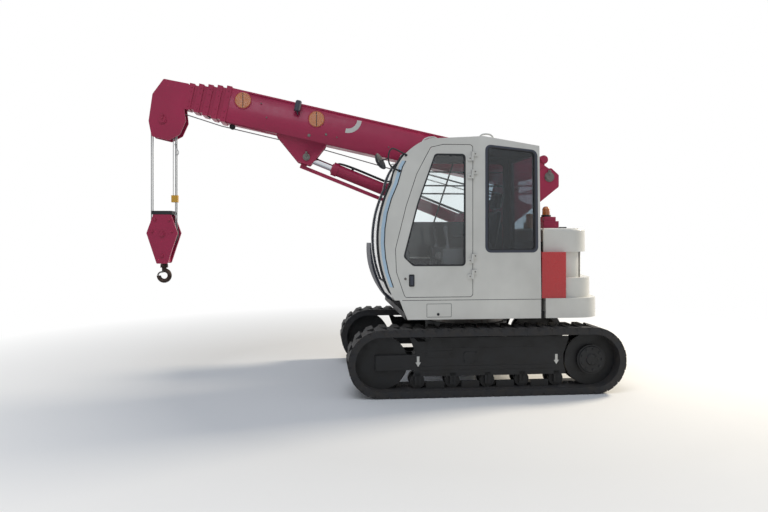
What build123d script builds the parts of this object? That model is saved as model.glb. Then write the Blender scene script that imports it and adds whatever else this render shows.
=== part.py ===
"""Telescopic crawler crane, about 8.5 t, on rubber tracks, with a cab beside its boom.

Millimetres, +Z up. The machine looks towards -X, so its left side, with the cab, is at -Y.
The origin is on the ground, on the slew axis. The boom is stored raised by BOOM_ANGLE.
"""

import math
import os

from build123d import *

# Tracks and their frames
TRACK_LENGTH = 2850.0
TRACK_HEIGHT = 680.0
TRACK_WIDTH = 450.0
TRACK_GAUGE = 1800.0
LUG_HEIGHT = 30.0
LUG_COUNT = 48
LUG_SHARE = 0.62
BELT_THICKNESS = 42.0
SIDE_FRAME_WIDTH = 250.0
SIDE_FRAME_BOTTOM = 232.0
SIDE_FRAME_TOP = 480.0
ROLLER_RADIUS = 75.0
ROLLER_END_GAP = 365.0
ROLLER_COUNT = 5
BRACKET_IN = 100.0
BRACKET_OUT = 122.0
TOP_ROLLER_RADIUS = 50.0
HUB_RADIUS = 110.0
HUB_COVER_RADIUS = 150.0
FIT_GAP = 0.3

# Centre frame and slew ring
CAR_BODY_BOTTOM = 330.0
CAR_BODY_TOP = 640.0
SLEW_RING_RADIUS = 430.0

# Upper deck
DECK_HALF_WIDTH = 1050.0
DECK_FRONT = -905.0
DECK_REAR = 600.0
DECK_BOTTOM = 772.0
DECK_PLATE = 60.0
SKIRT_TOP = 968.0
SKIRT_WALL = 40.0
TAIL_RADIUS = 1290.0
TAIL_CORNER_X = 930.0
TAIL_RIM_X = 1215.0
TAIL_RIM_Y = 780.0
LEDGE_TOP = 973.0
STEP_TOP = 1178.0
STEP_INSET = 45.0
COLUMN_INSET = 115.0
COLUMN_FRONT = 818.0
BAY_REAR = 1050.0
BAY_WALL = 200.0
BAY_HALF = DECK_HALF_WIDTH - BAY_WALL
WING_INSET = 20.0
COWL_BOTTOM = 1446.0
COWL_TOP = 1692.0
COWL_INSET = 80.0
COWL_WALL = 25.0

# Cab
CAB_LEFT = -DECK_HALF_WIDTH
CAB_RIGHT = -60.0
CAB_FLOOR = 968.0
CAB_REAR = 550.0
CAB_WALL = 45.0
GLASS = 6.0
GLASS_INSET = 14.0
SEAL = 6.0
HINGE_X = -165.0
HINGE_RADIUS = 12.0
HINGE_Y = CAB_LEFT - HINGE_RADIUS - 2
HINGE_LENGTH = 45.0
HINGE_HEIGHTS = (1180.0, 1340.0, 2190.0, 2370.0)

# Boom, turret and lift cylinder
BOOM_ANGLE = 12.0
BOOM_Y = 190.0
PIVOT_X = 1013.0
PIVOT_Z = 2305.0
BOOM_WIDTH = 280.0
BOOM_DEPTH = 390.0
BOOM_WALL = 8.0
SECTION_GAP = 6.0
BASE_TAIL = 110.0
BASE_FRONT = 3880.0
SECTION_REAR = 260.0
COLLAR_PITCH = 105.0
COLLAR_LENGTH = 58.0
COLLAR_RISE = 12.0
SECTION_COUNT = 4
PIVOT_PIN_RADIUS = 45.0
TURRET_PLATE = 25.0
TURRET_GAP = 6.0
CYLINDER_FOOT_X = 200.0
CYLINDER_FOOT_Z = 1700.0
ROD_EYE_S = 2845.0
ROD_EYE_W = -385.0
BARREL_RADIUS = 70.0
ROD_RADIUS = 42.0
ROD_EYE_RADIUS = 60.0
BRACKET_PLATE = 25.0
EYE_WIDTH = 110.0

# Hoist
SHEAVE_S = 4510.0
SHEAVE_W = -330.0
SHEAVE_PITCH_RADIUS = 134.0
SHEAVE_RADIUS = 152.0
SHEAVE_WIDTH = 34.0
ROPE_RADIUS = 6.0
BLOCK_TOP = 1850.0
BLOCK_BOTTOM = 1295.0
BLOCK_WIDTH = 343.0
BLOCK_THICKNESS = 230.0
WINCH_S = 480.0
WINCH_W = -470.0
DRUM_RADIUS = 95.0
DRUM_HALF = 101.0
GUIDE_S = 2700.0
GUIDE_W = -235.0
ROPE_SIDE = 100.0
ROPE_TURN_S = 3300.0
DRUM_ROPE_Y = 70.0
LEAD_IN = 25.0

os.makedirs("parts", exist_ok=True)


def outline(points, radius=0.0):
    """A closed flat face through the points, its corners rounded by radius."""
    face = make_face(Polyline(*points, close=True))
    if radius:
        face = fillet(face.vertices(), radius)
    return face


def across(face, y0, y1):
    """Extrude a side-view face, drawn in x and z, from y0 to y1."""
    return extrude(Plane.XZ.offset(-y1) * face, amount=y1 - y0)


def upright(face, z0, z1):
    """Extrude a plan-view face from z0 to z1."""
    return extrude(Pos(0, 0, z0) * face, amount=z1 - z0)


def block(x0, x1, y0, y1, z0, z1):
    """A box between two corners."""
    return Pos((x0 + x1) / 2, (y0 + y1) / 2, (z0 + z1) / 2) * Box(x1 - x0, y1 - y0, z1 - z0)


def disc_y(x, z, radius, y0, y1):
    """A round piece about a line along Y."""
    return Pos(x, (y0 + y1) / 2, z) * Rot(90, 0, 0) * Cylinder(radius, y1 - y0)


def disc_z(x, y, radius, z0, z1):
    """A round piece about a vertical line."""
    return Pos(x, y, (z0 + z1) / 2) * Cylinder(radius, z1 - z0)


def rod_between(start, end, radius):
    """A straight round rod from start to end."""
    line = Line(start, end)
    return sweep(Plane(origin=start, z_dir=line % 0) * Circle(radius), path=line)


def write(node, *solids):
    """Write one node's solids to its STEP file."""
    flat = [piece for solid in solids for piece in solid.solids()]
    export_step(Compound(children=flat), f"parts/{node}.step")


END_RADIUS = TRACK_HEIGHT / 2
AXLE_X = TRACK_LENGTH / 2 - END_RADIUS
AXLE_Z = END_RADIUS
BELT_OUT = END_RADIUS - LUG_HEIGHT
BELT_IN = BELT_OUT - BELT_THICKNESS
BELT_FLOOR = LUG_HEIGHT + BELT_THICKNESS
ROLLER_PITCH = 2 * (AXLE_X - ROLLER_END_GAP) / (ROLLER_COUNT - 1)
SIDES = {"left": -1, "right": 1}


def loop_point(distance, radius):
    """The point and outward direction at a distance along the track's loop, at a radius."""
    straight = 2 * AXLE_X
    half_turn = math.pi * BELT_OUT
    distance = distance % (2 * straight + 2 * half_turn)
    if distance < straight:
        return (AXLE_X - distance, AXLE_Z + radius)
    distance -= straight
    if distance < half_turn:
        angle = math.pi / 2 + distance / BELT_OUT
        return (-AXLE_X + radius * math.cos(angle), AXLE_Z + radius * math.sin(angle))
    distance -= half_turn
    if distance < straight:
        return (-AXLE_X + distance, AXLE_Z - radius)
    angle = -math.pi / 2 + (distance - straight) / BELT_OUT
    return (AXLE_X + radius * math.cos(angle), AXLE_Z + radius * math.sin(angle))


def toothed_outline(shift, foot, tip):
    """A loop of lugs: foot and tip are the radii of their roots and tops, shift is in pitches."""
    length = 4 * AXLE_X + 2 * math.pi * BELT_OUT
    pitch = length / LUG_COUNT
    points = []
    for index in range(LUG_COUNT):
        start = (index + shift) * pitch
        rise = 0.08 * pitch
        run = LUG_SHARE * pitch
        for place, radius in ((0, foot), (rise, tip), (run - rise, tip), (run, foot)):
            points.append(loop_point(start + place, radius))
    return outline(points)


def stadium(radius):
    """The loop's side view at a radius from its axles."""
    return Pos(0, AXLE_Z) * SlotOverall(2 * AXLE_X + 2 * radius, 2 * radius)


def track(side):
    """One rubber track: a belt with two staggered rows of lugs and guide teeth inside."""
    middle = side * TRACK_GAUGE / 2
    half = TRACK_WIDTH / 2
    hole = across(stadium(BELT_IN), middle - TRACK_WIDTH, middle + TRACK_WIDTH)
    outer = across(toothed_outline(0.0, BELT_OUT, END_RADIUS), middle, middle + half)
    inner = across(toothed_outline(0.5, BELT_OUT, END_RADIUS), middle - half, middle)
    return outer + inner - hole


def side_frame(side):
    """A track frame: a box between idler and sprocket, with a slide at the front."""
    middle = side * TRACK_GAUGE / 2
    half = SIDE_FRAME_WIDTH / 2
    reach = AXLE_X - 330
    shape = outline([(-reach, SIDE_FRAME_BOTTOM), (reach, SIDE_FRAME_BOTTOM), (reach, 410),
                     (reach - 160, SIDE_FRAME_TOP), (-reach + 160, SIDE_FRAME_TOP), (-reach, 410)])
    body = across(shape, middle - half, middle + half)
    for offset in (-half, half - 30):
        fork = block(-AXLE_X - 60, -reach, middle + offset, middle + offset + 30, 265, 415)
        body += fork
    inward = middle - side * half
    cheek = block(reach, AXLE_X + 150, inward - 12, inward + 12, 250, 430)
    cheek -= disc_y(AXLE_X, AXLE_Z, HUB_RADIUS + FIT_GAP, inward - 15, inward + 15)
    body += cheek
    for index in range(ROLLER_COUNT):
        x = (index - (ROLLER_COUNT - 1) / 2) * ROLLER_PITCH
        for offset in (-BRACKET_OUT, BRACKET_IN):
            body += block(x - 30, x + 30, middle + offset, middle + offset + BRACKET_OUT - BRACKET_IN,
                          BELT_FLOOR + ROLLER_RADIUS - 35, SIDE_FRAME_BOTTOM)
    post = AXLE_Z + BELT_IN - 2 * TOP_ROLLER_RADIUS - FIT_GAP
    body += block(-40, 40, middle - 45, middle + 45, SIDE_FRAME_TOP, post - FIT_GAP)
    return body


def wheel(x, z, middle, radius, width, flange):
    """A round wheel with two raised rims, about a line along Y."""
    drum = disc_y(x, z, radius - flange, middle - width / 2, middle + width / 2)
    rim = width / 4
    for start in (middle - width / 2, middle + width / 2 - rim):
        drum += disc_y(x, z, radius, start, start + rim)
    return drum


def undercarriage():
    """Tracks, frames, wheels and the centre frame with its slew ring."""
    rollers = []
    idlers = []
    sprockets = []
    motors = []
    frames = []
    for name, side in SIDES.items():
        middle = side * TRACK_GAUGE / 2
        write(f"track_{name}", track(side))
        frames.append(side_frame(side))
        wide = SIDE_FRAME_WIDTH - 70
        idler = wheel(-AXLE_X, AXLE_Z, middle, BELT_IN - FIT_GAP, wide, 40)
        reach = SIDE_FRAME_WIDTH / 2 - 30 - FIT_GAP
        idlers.append(idler + disc_y(-AXLE_X, AXLE_Z, 45, middle - reach, middle + reach))
        sprocket = wheel(AXLE_X, AXLE_Z, middle, BELT_IN - FIT_GAP, wide, 40)
        bore = disc_y(AXLE_X, AXLE_Z, HUB_RADIUS + FIT_GAP, middle - wide, middle + wide)
        sprockets.append(sprocket - bore)
        ends = sorted((middle - side * 200, middle + side * (wide / 2 + FIT_GAP)))
        cover = sorted((middle + side * (wide / 2 + FIT_GAP), middle + side * (wide / 2 + 45)))
        motor = disc_y(AXLE_X, AXLE_Z, HUB_RADIUS, *ends)
        motors.append(motor + disc_y(AXLE_X, AXLE_Z, HUB_COVER_RADIUS, *cover))
        for index in range(ROLLER_COUNT):
            x = (index - (ROLLER_COUNT - 1) / 2) * ROLLER_PITCH
            z = BELT_FLOOR + ROLLER_RADIUS + FIT_GAP
            roller = wheel(x, z, middle, ROLLER_RADIUS, 190, 18)
            roller += disc_y(x, z, 22, middle - BRACKET_IN + FIT_GAP, middle + BRACKET_IN - FIT_GAP)
            rollers.append(roller)
        top = TRACK_HEIGHT - BELT_FLOOR - TOP_ROLLER_RADIUS - FIT_GAP
        rollers.append(disc_y(0, top, TOP_ROLLER_RADIUS, middle - 60, middle + 60))
    write("track_frames", *frames)
    write("idlers", *idlers)
    write("sprockets", *sprockets)
    write("travel_motors", *motors)
    write("track_rollers", *rollers)
    inner = TRACK_GAUGE / 2 - SIDE_FRAME_WIDTH / 2
    body = disc_z(0, 0, SLEW_RING_RADIUS + 40, CAR_BODY_BOTTOM, CAR_BODY_TOP)
    for x in (-1, 1):
        for y in (-1, 1):
            leg = outline([(x * 90, y * 250), (x * 420, y * 180), (x * 560, y * inner), (x * 280, y * inner)])
            body += upright(leg, CAR_BODY_BOTTOM + 30, CAR_BODY_TOP - 190)
    write("car_body", body)
    ring = disc_z(0, 0, SLEW_RING_RADIUS, CAR_BODY_TOP, DECK_BOTTOM - FIT_GAP)
    ring -= disc_z(0, 0, SLEW_RING_RADIUS - 110, CAR_BODY_TOP, DECK_BOTTOM - FIT_GAP)
    write("slew_ring", ring)


def cab_profile(inset=0.0):
    """The cab's side view, drawn inwards by inset."""
    front = ThreePointArc((-955, CAB_FLOOR), (-1115, 1560), (-985, 2130))
    brow = ThreePointArc((-985, 2130), (-850, 2430), (-600, 2590))
    roof = Polyline((-600, 2590), (-50, 2622), (CAB_REAR - 20, 2530), (CAB_REAR, CAB_FLOOR), (-955, CAB_FLOOR))
    face = make_face(front + brow + roof)
    return offset(face, amount=-inset) if inset else face


DOOR_OUTLINE = [(-850, 1000), (-935, 1250), (-945, 1480), (-836, 1915), (-729, 2237), (-590, 2500),
                (-460, 2530), (HINGE_X, 2530), (HINGE_X, 1000)]
DOOR_WINDOW = [(-770, 1308), (-868, 1400), (-729, 1937), (-550, 2440), (-235, 2440), (-235, 1308)]


def knuckle(side, z):
    """Half a door hinge at height z: its barrel and the strap that it turns on."""
    barrel = disc_z(HINGE_X, HINGE_Y, HINGE_RADIUS, z, z + HINGE_LENGTH)
    x0, x1 = sorted((HINGE_X + side * 4, HINGE_X + side * 50))
    strap = block(x0, x1, HINGE_Y + 1, CAB_LEFT + 1, z, z + HINGE_LENGTH)
    return barrel + strap


def cab():
    """The hollow cab, its panes and its door."""
    shell = across(cab_profile(), CAB_LEFT, CAB_RIGHT)
    shell -= across(cab_profile(CAB_WALL), CAB_LEFT + CAB_WALL, CAB_RIGHT - CAB_WALL)
    wide = 2000.0
    windows = {
        "front": block(-1300, -790, CAB_LEFT + 75, CAB_RIGHT - 75, 1120, 2400),
        "roof": block(-640, -230, CAB_LEFT + 160, CAB_RIGHT - 160, 2450, 2800),
        "rear": block(CAB_REAR - 120, CAB_REAR + 60, CAB_LEFT + 110, CAB_RIGHT - 110, 1470, 2440),
        "quarter": across(outline([(-10, 1466), (495, 1466), (485, 2470), (-10, 2520)], 40),
                          CAB_LEFT - 10, CAB_LEFT + CAB_WALL + 10),
        "right": across(outline([(-870, 1350), (430, 1350), (430, 2440), (-560, 2440)], 60),
                        CAB_RIGHT - CAB_WALL - 10, CAB_RIGHT + 10),
    }
    outer = across(cab_profile(GLASS_INSET), CAB_LEFT + GLASS_INSET, CAB_RIGHT - GLASS_INSET)
    skin = outer - across(cab_profile(GLASS_INSET + GLASS), CAB_LEFT + GLASS_INSET + GLASS,
                          CAB_RIGHT - GLASS_INSET - GLASS)
    panes = {name: skin & cutter for name, cutter in windows.items()}
    doorway = outline(DOOR_OUTLINE, 30)
    opening = across(offset(doorway, amount=SEAL), CAB_LEFT - 10, CAB_LEFT + CAB_WALL + 10)
    for cutter in (*windows.values(), opening):
        shell -= cutter
    for z in HINGE_HEIGHTS:
        shell += knuckle(1, z + HINGE_LENGTH + FIT_GAP)
    write("cab_shell", shell)
    write("windscreen", panes["front"])
    write("cab_glass", panes["roof"], panes["rear"], panes["quarter"], panes["right"])
    leaf = across(doorway, CAB_LEFT, CAB_LEFT + CAB_WALL)
    light = across(outline(DOOR_WINDOW, 40), CAB_LEFT - 10, CAB_LEFT + CAB_WALL + 10)
    slab = block(-wide, wide, CAB_LEFT + GLASS_INSET, CAB_LEFT + GLASS_INSET + GLASS, 900, 2700)
    leaf -= light
    for z in HINGE_HEIGHTS:
        leaf += knuckle(-1, z)
    write("door", leaf)
    write("door_glass", light & slab)
    handle = block(-800, -770, CAB_LEFT - 22, CAB_LEFT, 1120, 1210)
    write("door_handle", handle)


def cab_inside():
    """Seat and control consoles, seen through the glass."""
    middle = (CAB_LEFT + CAB_RIGHT) / 2
    floor = CAB_FLOOR + CAB_WALL
    base = block(-330, 110, middle - 200, middle + 200, floor, 1330)
    write("seat_base", base)
    cushion = block(-420, 120, middle - 240, middle + 240, 1330, 1450)
    back = across(outline([(60, 1450), (170, 1450), (290, 2080), (200, 2090)], 30), middle - 230, middle + 230)
    write("seat", cushion + back)
    desks = []
    for side in (-1, 1):
        y = middle + side * 330
        desks.append(block(-450, 150, y - 70, y + 70, floor, 1480))
        desks.append(rod_between((-380, y, 1480), (-400, y, 1640), 14))
    tower = across(outline([(-820, floor), (-700, floor), (-760, 1500), (-840, 1520)]), middle + 60, middle + 320)
    write("consoles", *desks, tower)


def deck():
    """The upper frame, its skirts, the engine, hood, counterweight and side boxes."""
    inside = DECK_HALF_WIDTH - SKIRT_WALL
    plate = block(DECK_FRONT + 60, DECK_REAR, -inside, inside, DECK_BOTTOM, DECK_BOTTOM + DECK_PLATE)
    write("deck", plate)
    skirt_side = outline([(DECK_FRONT, SKIRT_TOP), (DECK_FRONT + 80, DECK_BOTTOM), (DECK_REAR - 50, DECK_BOTTOM),
                          (DECK_REAR - 50, SKIRT_TOP)])
    left = across(skirt_side, -DECK_HALF_WIDTH, -inside)
    right = across(skirt_side, inside, DECK_HALF_WIDTH)
    write("side_skirts", left, right)
    box_left = BOOM_Y + BOOM_WIDTH / 2 + TURRET_GAP + TURRET_PLATE + 25
    top = DECK_BOTTOM + DECK_PLATE
    body = block(-820, DECK_REAR - 50, box_left, inside, top, 1500)
    write("right_box", body)
    nose = ThreePointArc((-870, 840), (-1050, 1180), (-1085, 1515))
    face = make_face(nose + Polyline((-1085, 1515), (-820, 1515), (-820, 840), (-870, 840)))
    write("front_cowl", across(face, box_left, inside))
    ledge = upright(tail_plan(0), DECK_BOTTOM, LEDGE_TOP)
    step = upright(tail_plan(STEP_INSET), LEDGE_TOP, STEP_TOP)
    column = upright(tail_plan(COLUMN_INSET), STEP_TOP, COWL_BOTTOM)
    bay = block(0, BAY_REAR, -BAY_HALF, BAY_HALF, LEDGE_TOP, COWL_BOTTOM)
    sides = block(0, COLUMN_FRONT, -DECK_HALF_WIDTH, DECK_HALF_WIDTH, LEDGE_TOP, COWL_BOTTOM)
    write("counterweight", ledge + step + column - bay - sides)
    cowl = upright(tail_plan(COWL_INSET), COWL_BOTTOM, COWL_TOP)
    hollow = upright(tail_plan(COWL_INSET + COWL_WALL), COWL_BOTTOM, COWL_TOP - COWL_WALL)
    write("engine_hood", fillet(cowl.faces().sort_by(Axis.Z)[-1].edges(), 35) - hollow)
    write("engine", block(COLUMN_FRONT - 130, BAY_REAR - 60, -430, 430, LEDGE_TOP, COWL_BOTTOM + 90))
    wings = []
    for side in (-1, 1):
        y0, y1 = sorted((side * BAY_HALF, side * (DECK_HALF_WIDTH - WING_INSET)))
        wings.append(block(CAB_REAR + 15, COLUMN_FRONT, y0, y1, LEDGE_TOP, COWL_BOTTOM))
    wall = block(DECK_REAR + 32, DECK_REAR + 52, -BAY_HALF, BAY_HALF, LEDGE_TOP, COWL_BOTTOM)
    write("rear_panels", wings[0] + wall + wings[1])
    lamp = disc_z(680, -300, 75, COWL_TOP, COWL_TOP + 70) + disc_z(680, -300, 45, COWL_TOP + 70, COWL_TOP + 165)
    write("beacon", lamp)


def tail_plan(inset):
    """The rounded tail's plan, drawn in by inset, from the deck's rear edge."""
    half = DECK_HALF_WIDTH - inset
    corner = TAIL_CORNER_X - inset
    rim = TAIL_RIM_X - inset
    rear = TAIL_RADIUS - inset
    bend_y = TAIL_RIM_Y - inset
    middle = (0.35 * corner + 0.65 * rim + 20, 0.62 * half + 0.38 * bend_y + 20)
    lines = (Polyline((corner, half), (DECK_REAR, half), (DECK_REAR, -half), (corner, -half))
             + ThreePointArc((corner, -half), (middle[0], -middle[1]), (rim, -bend_y))
             + ThreePointArc((rim, -bend_y), (rear, 0), (rim, bend_y))
             + ThreePointArc((rim, bend_y), middle, (corner, half)))
    return make_face(lines)


def turret():
    """Two leaning side plates that carry the boom's pivot and the lift cylinder's foot."""
    floor = DECK_BOTTOM + DECK_PLATE
    shape = outline([(-330, floor), (440, floor), (590, 1760), (1130, 2190), (1130, 2330), (1040, 2410),
                     (930, 2400), (560, 2080), (60, 1900), (-110, 1850)], 25)
    inner = BOOM_WIDTH / 2 + TURRET_GAP
    plates = []
    for side in (-1, 1):
        y = BOOM_Y + side * (inner + TURRET_PLATE / 2)
        plates.append(across(shape, y - TURRET_PLATE / 2, y + TURRET_PLATE / 2))
    foot = block(-300, 440, BOOM_Y - inner, BOOM_Y + inner, floor, floor + 300)
    pin = disc_y(PIVOT_X, PIVOT_Z, PIVOT_PIN_RADIUS, BOOM_Y - inner, BOOM_Y + inner)
    write("turret", plates[0] + foot + pin + plates[1])


def on_boom(shape):
    """Move a piece from the boom's own frame, forward along -X from its pivot, to its place."""
    return Pos(PIVOT_X, BOOM_Y, PIVOT_Z) * Rot(0, BOOM_ANGLE, 0) * shape


def boom_place(forward, rise):
    """The side-view x and z of a point given along the boom and square to it."""
    angle = math.radians(BOOM_ANGLE)
    x = PIVOT_X - forward * math.cos(angle) + rise * math.sin(angle)
    z = PIVOT_Z + forward * math.sin(angle) + rise * math.cos(angle)
    return x, z


def tube(start, end, width, depth, wall):
    """A box tube along the boom, from start to end forward of the pivot."""
    outer = block(-end, -start, -width / 2, width / 2, -depth / 2, depth / 2)
    inner = block(-end - 1, -start + 1, -width / 2 + wall, width / 2 - wall, -depth / 2 + wall, depth / 2 - wall)
    return outer - inner


def boom():
    """The base section, its cylinder bracket and the nested sections."""
    step = 2 * (BOOM_WALL + SECTION_GAP)
    pad = SECTION_GAP - FIT_GAP
    for index in range(SECTION_COUNT + 1):
        width = BOOM_WIDTH - index * step
        depth = BOOM_DEPTH - index * step
        front = BASE_FRONT + index * COLLAR_PITCH
        rear = -BASE_TAIL if index == 0 else SECTION_REAR
        body = tube(rear, front, width, depth, BOOM_WALL)
        body += tube(front - COLLAR_LENGTH, front, width + 2 * COLLAR_RISE, depth + 2 * COLLAR_RISE,
                     COLLAR_RISE + 1)
        if index < SECTION_COUNT:
            floor = -depth / 2 + BOOM_WALL
            body += block(-front, -front + 150, -width / 4, width / 4, floor, floor + pad)
        if index == 0:
            body += boom_extras()
            body -= disc_y(0, 0, PIVOT_PIN_RADIUS + FIT_GAP, -BOOM_WIDTH, BOOM_WIDTH)
            write("boom_base", on_boom(body))
        else:
            write(f"boom_section_{index + 1}", on_boom(body))


def boom_extras():
    """The pivot tube and the bracket for the lift cylinder."""
    half = BOOM_WIDTH / 2
    reach = half + TURRET_GAP - FIT_GAP
    pivot = disc_y(0, 0, PIVOT_PIN_RADIUS + 35, -reach, reach)
    bottom = -BOOM_DEPTH / 2
    plates = outline([(-2640, bottom), (-3260, bottom), (-2930, -460), (-2780, -470), (-2740, -400)], 15)
    inner = EYE_WIDTH / 2 + 6
    for side in (-1, 1):
        y = side * (inner + BRACKET_PLATE / 2)
        pivot += across(plates, y - BRACKET_PLATE / 2, y + BRACKET_PLATE / 2)
    return pivot


def head():
    """The boom head with its sheaves."""
    plates = outline([(-4300 - FIT_GAP, 139), (-4594, 130), (-4679, -65), (-4657, -375), (-4589, -536), (-4395, -540),
                      (-4290, -449), (-4256, -290), (-4300 - FIT_GAP, -152)], 20)
    body = None
    for side in (-1, 1):
        y = side * 84
        plate = across(plates, y - 8, y + 8)
        body = plate if body is None else body + plate
    body += block(-4660, -4302, -76, 76, 100, 112) & across(plates, -100, 100)
    body += disc_y(-SHEAVE_S, SHEAVE_W, 30, -92, 92)
    write("boom_head", on_boom(body))
    sheaves = []
    for y in (-38, 0, 38):
        sheaves.append(on_boom(Pos(-SHEAVE_S, y, SHEAVE_W) * sheave(30 + FIT_GAP)))
    write("head_sheaves", *sheaves)


def sheave(bore):
    """A grooved wheel about Y, at the origin."""
    half = SHEAVE_WIDTH / 2
    groove = SHEAVE_PITCH_RADIUS - ROPE_RADIUS - FIT_GAP
    face = outline([(bore, -half), (SHEAVE_RADIUS, -half), (SHEAVE_RADIUS, -half + 5), (groove, -5), (groove, 5),
                    (SHEAVE_RADIUS, half - 5), (SHEAVE_RADIUS, half), (bore, half)])
    return revolve(face, axis=Axis.Y)


def lift_cylinder():
    """The luffing cylinder: barrel on the turret, rod with its eye in the boom's bracket."""
    eye_x, eye_z = boom_place(ROD_EYE_S, ROD_EYE_W)
    reach = math.hypot(eye_x - CYLINDER_FOOT_X, eye_z - CYLINDER_FOOT_Z)
    tilt = math.degrees(math.atan2(eye_z - CYLINDER_FOOT_Z, CYLINDER_FOOT_X - eye_x))
    place = Pos(CYLINDER_FOOT_X, BOOM_Y, CYLINDER_FOOT_Z) * Rot(0, tilt, 0)
    barrel_end = reach - 330
    barrel = Pos(-(60 + barrel_end) / 2, 0, 0) * Rot(0, 90, 0) * Cylinder(BARREL_RADIUS, barrel_end - 60)
    bore = Pos(-(110 + barrel_end) / 2, 0, 0) * Rot(0, 90, 0) * Cylinder(ROD_RADIUS + FIT_GAP, barrel_end - 110)
    barrel -= bore
    barrel += disc_y(0, 0, 80, -EYE_WIDTH / 2, EYE_WIDTH / 2)
    barrel += disc_y(0, 0, 35, -BOOM_WIDTH / 2 - TURRET_GAP + FIT_GAP, BOOM_WIDTH / 2 + TURRET_GAP - FIT_GAP)
    write("lift_barrel", place * barrel)
    rod = Pos(-(345 + reach) / 2, 0, 0) * Rot(0, 90, 0) * Cylinder(ROD_RADIUS, reach - 345)
    rod += disc_y(-reach, 0, ROD_EYE_RADIUS, -EYE_WIDTH / 2, EYE_WIDTH / 2)
    rod += block(-reach - 30, -reach + 40, -22, 22, -130, -50)
    rod += block(-reach - 30, -reach + 1300, -22, 22, -138, -98)
    write("lift_rod", place * rod)


def half_ring(up):
    """Half a turn of rope round a sheave at the origin, over its top or under its bottom."""
    side = 2 * SHEAVE_RADIUS
    ring = Rot(90, 0, 0) * Torus(SHEAVE_PITCH_RADIUS, ROPE_RADIUS)
    return ring & Pos(0, 0, up * side / 2) * Box(side, side, side)


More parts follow.
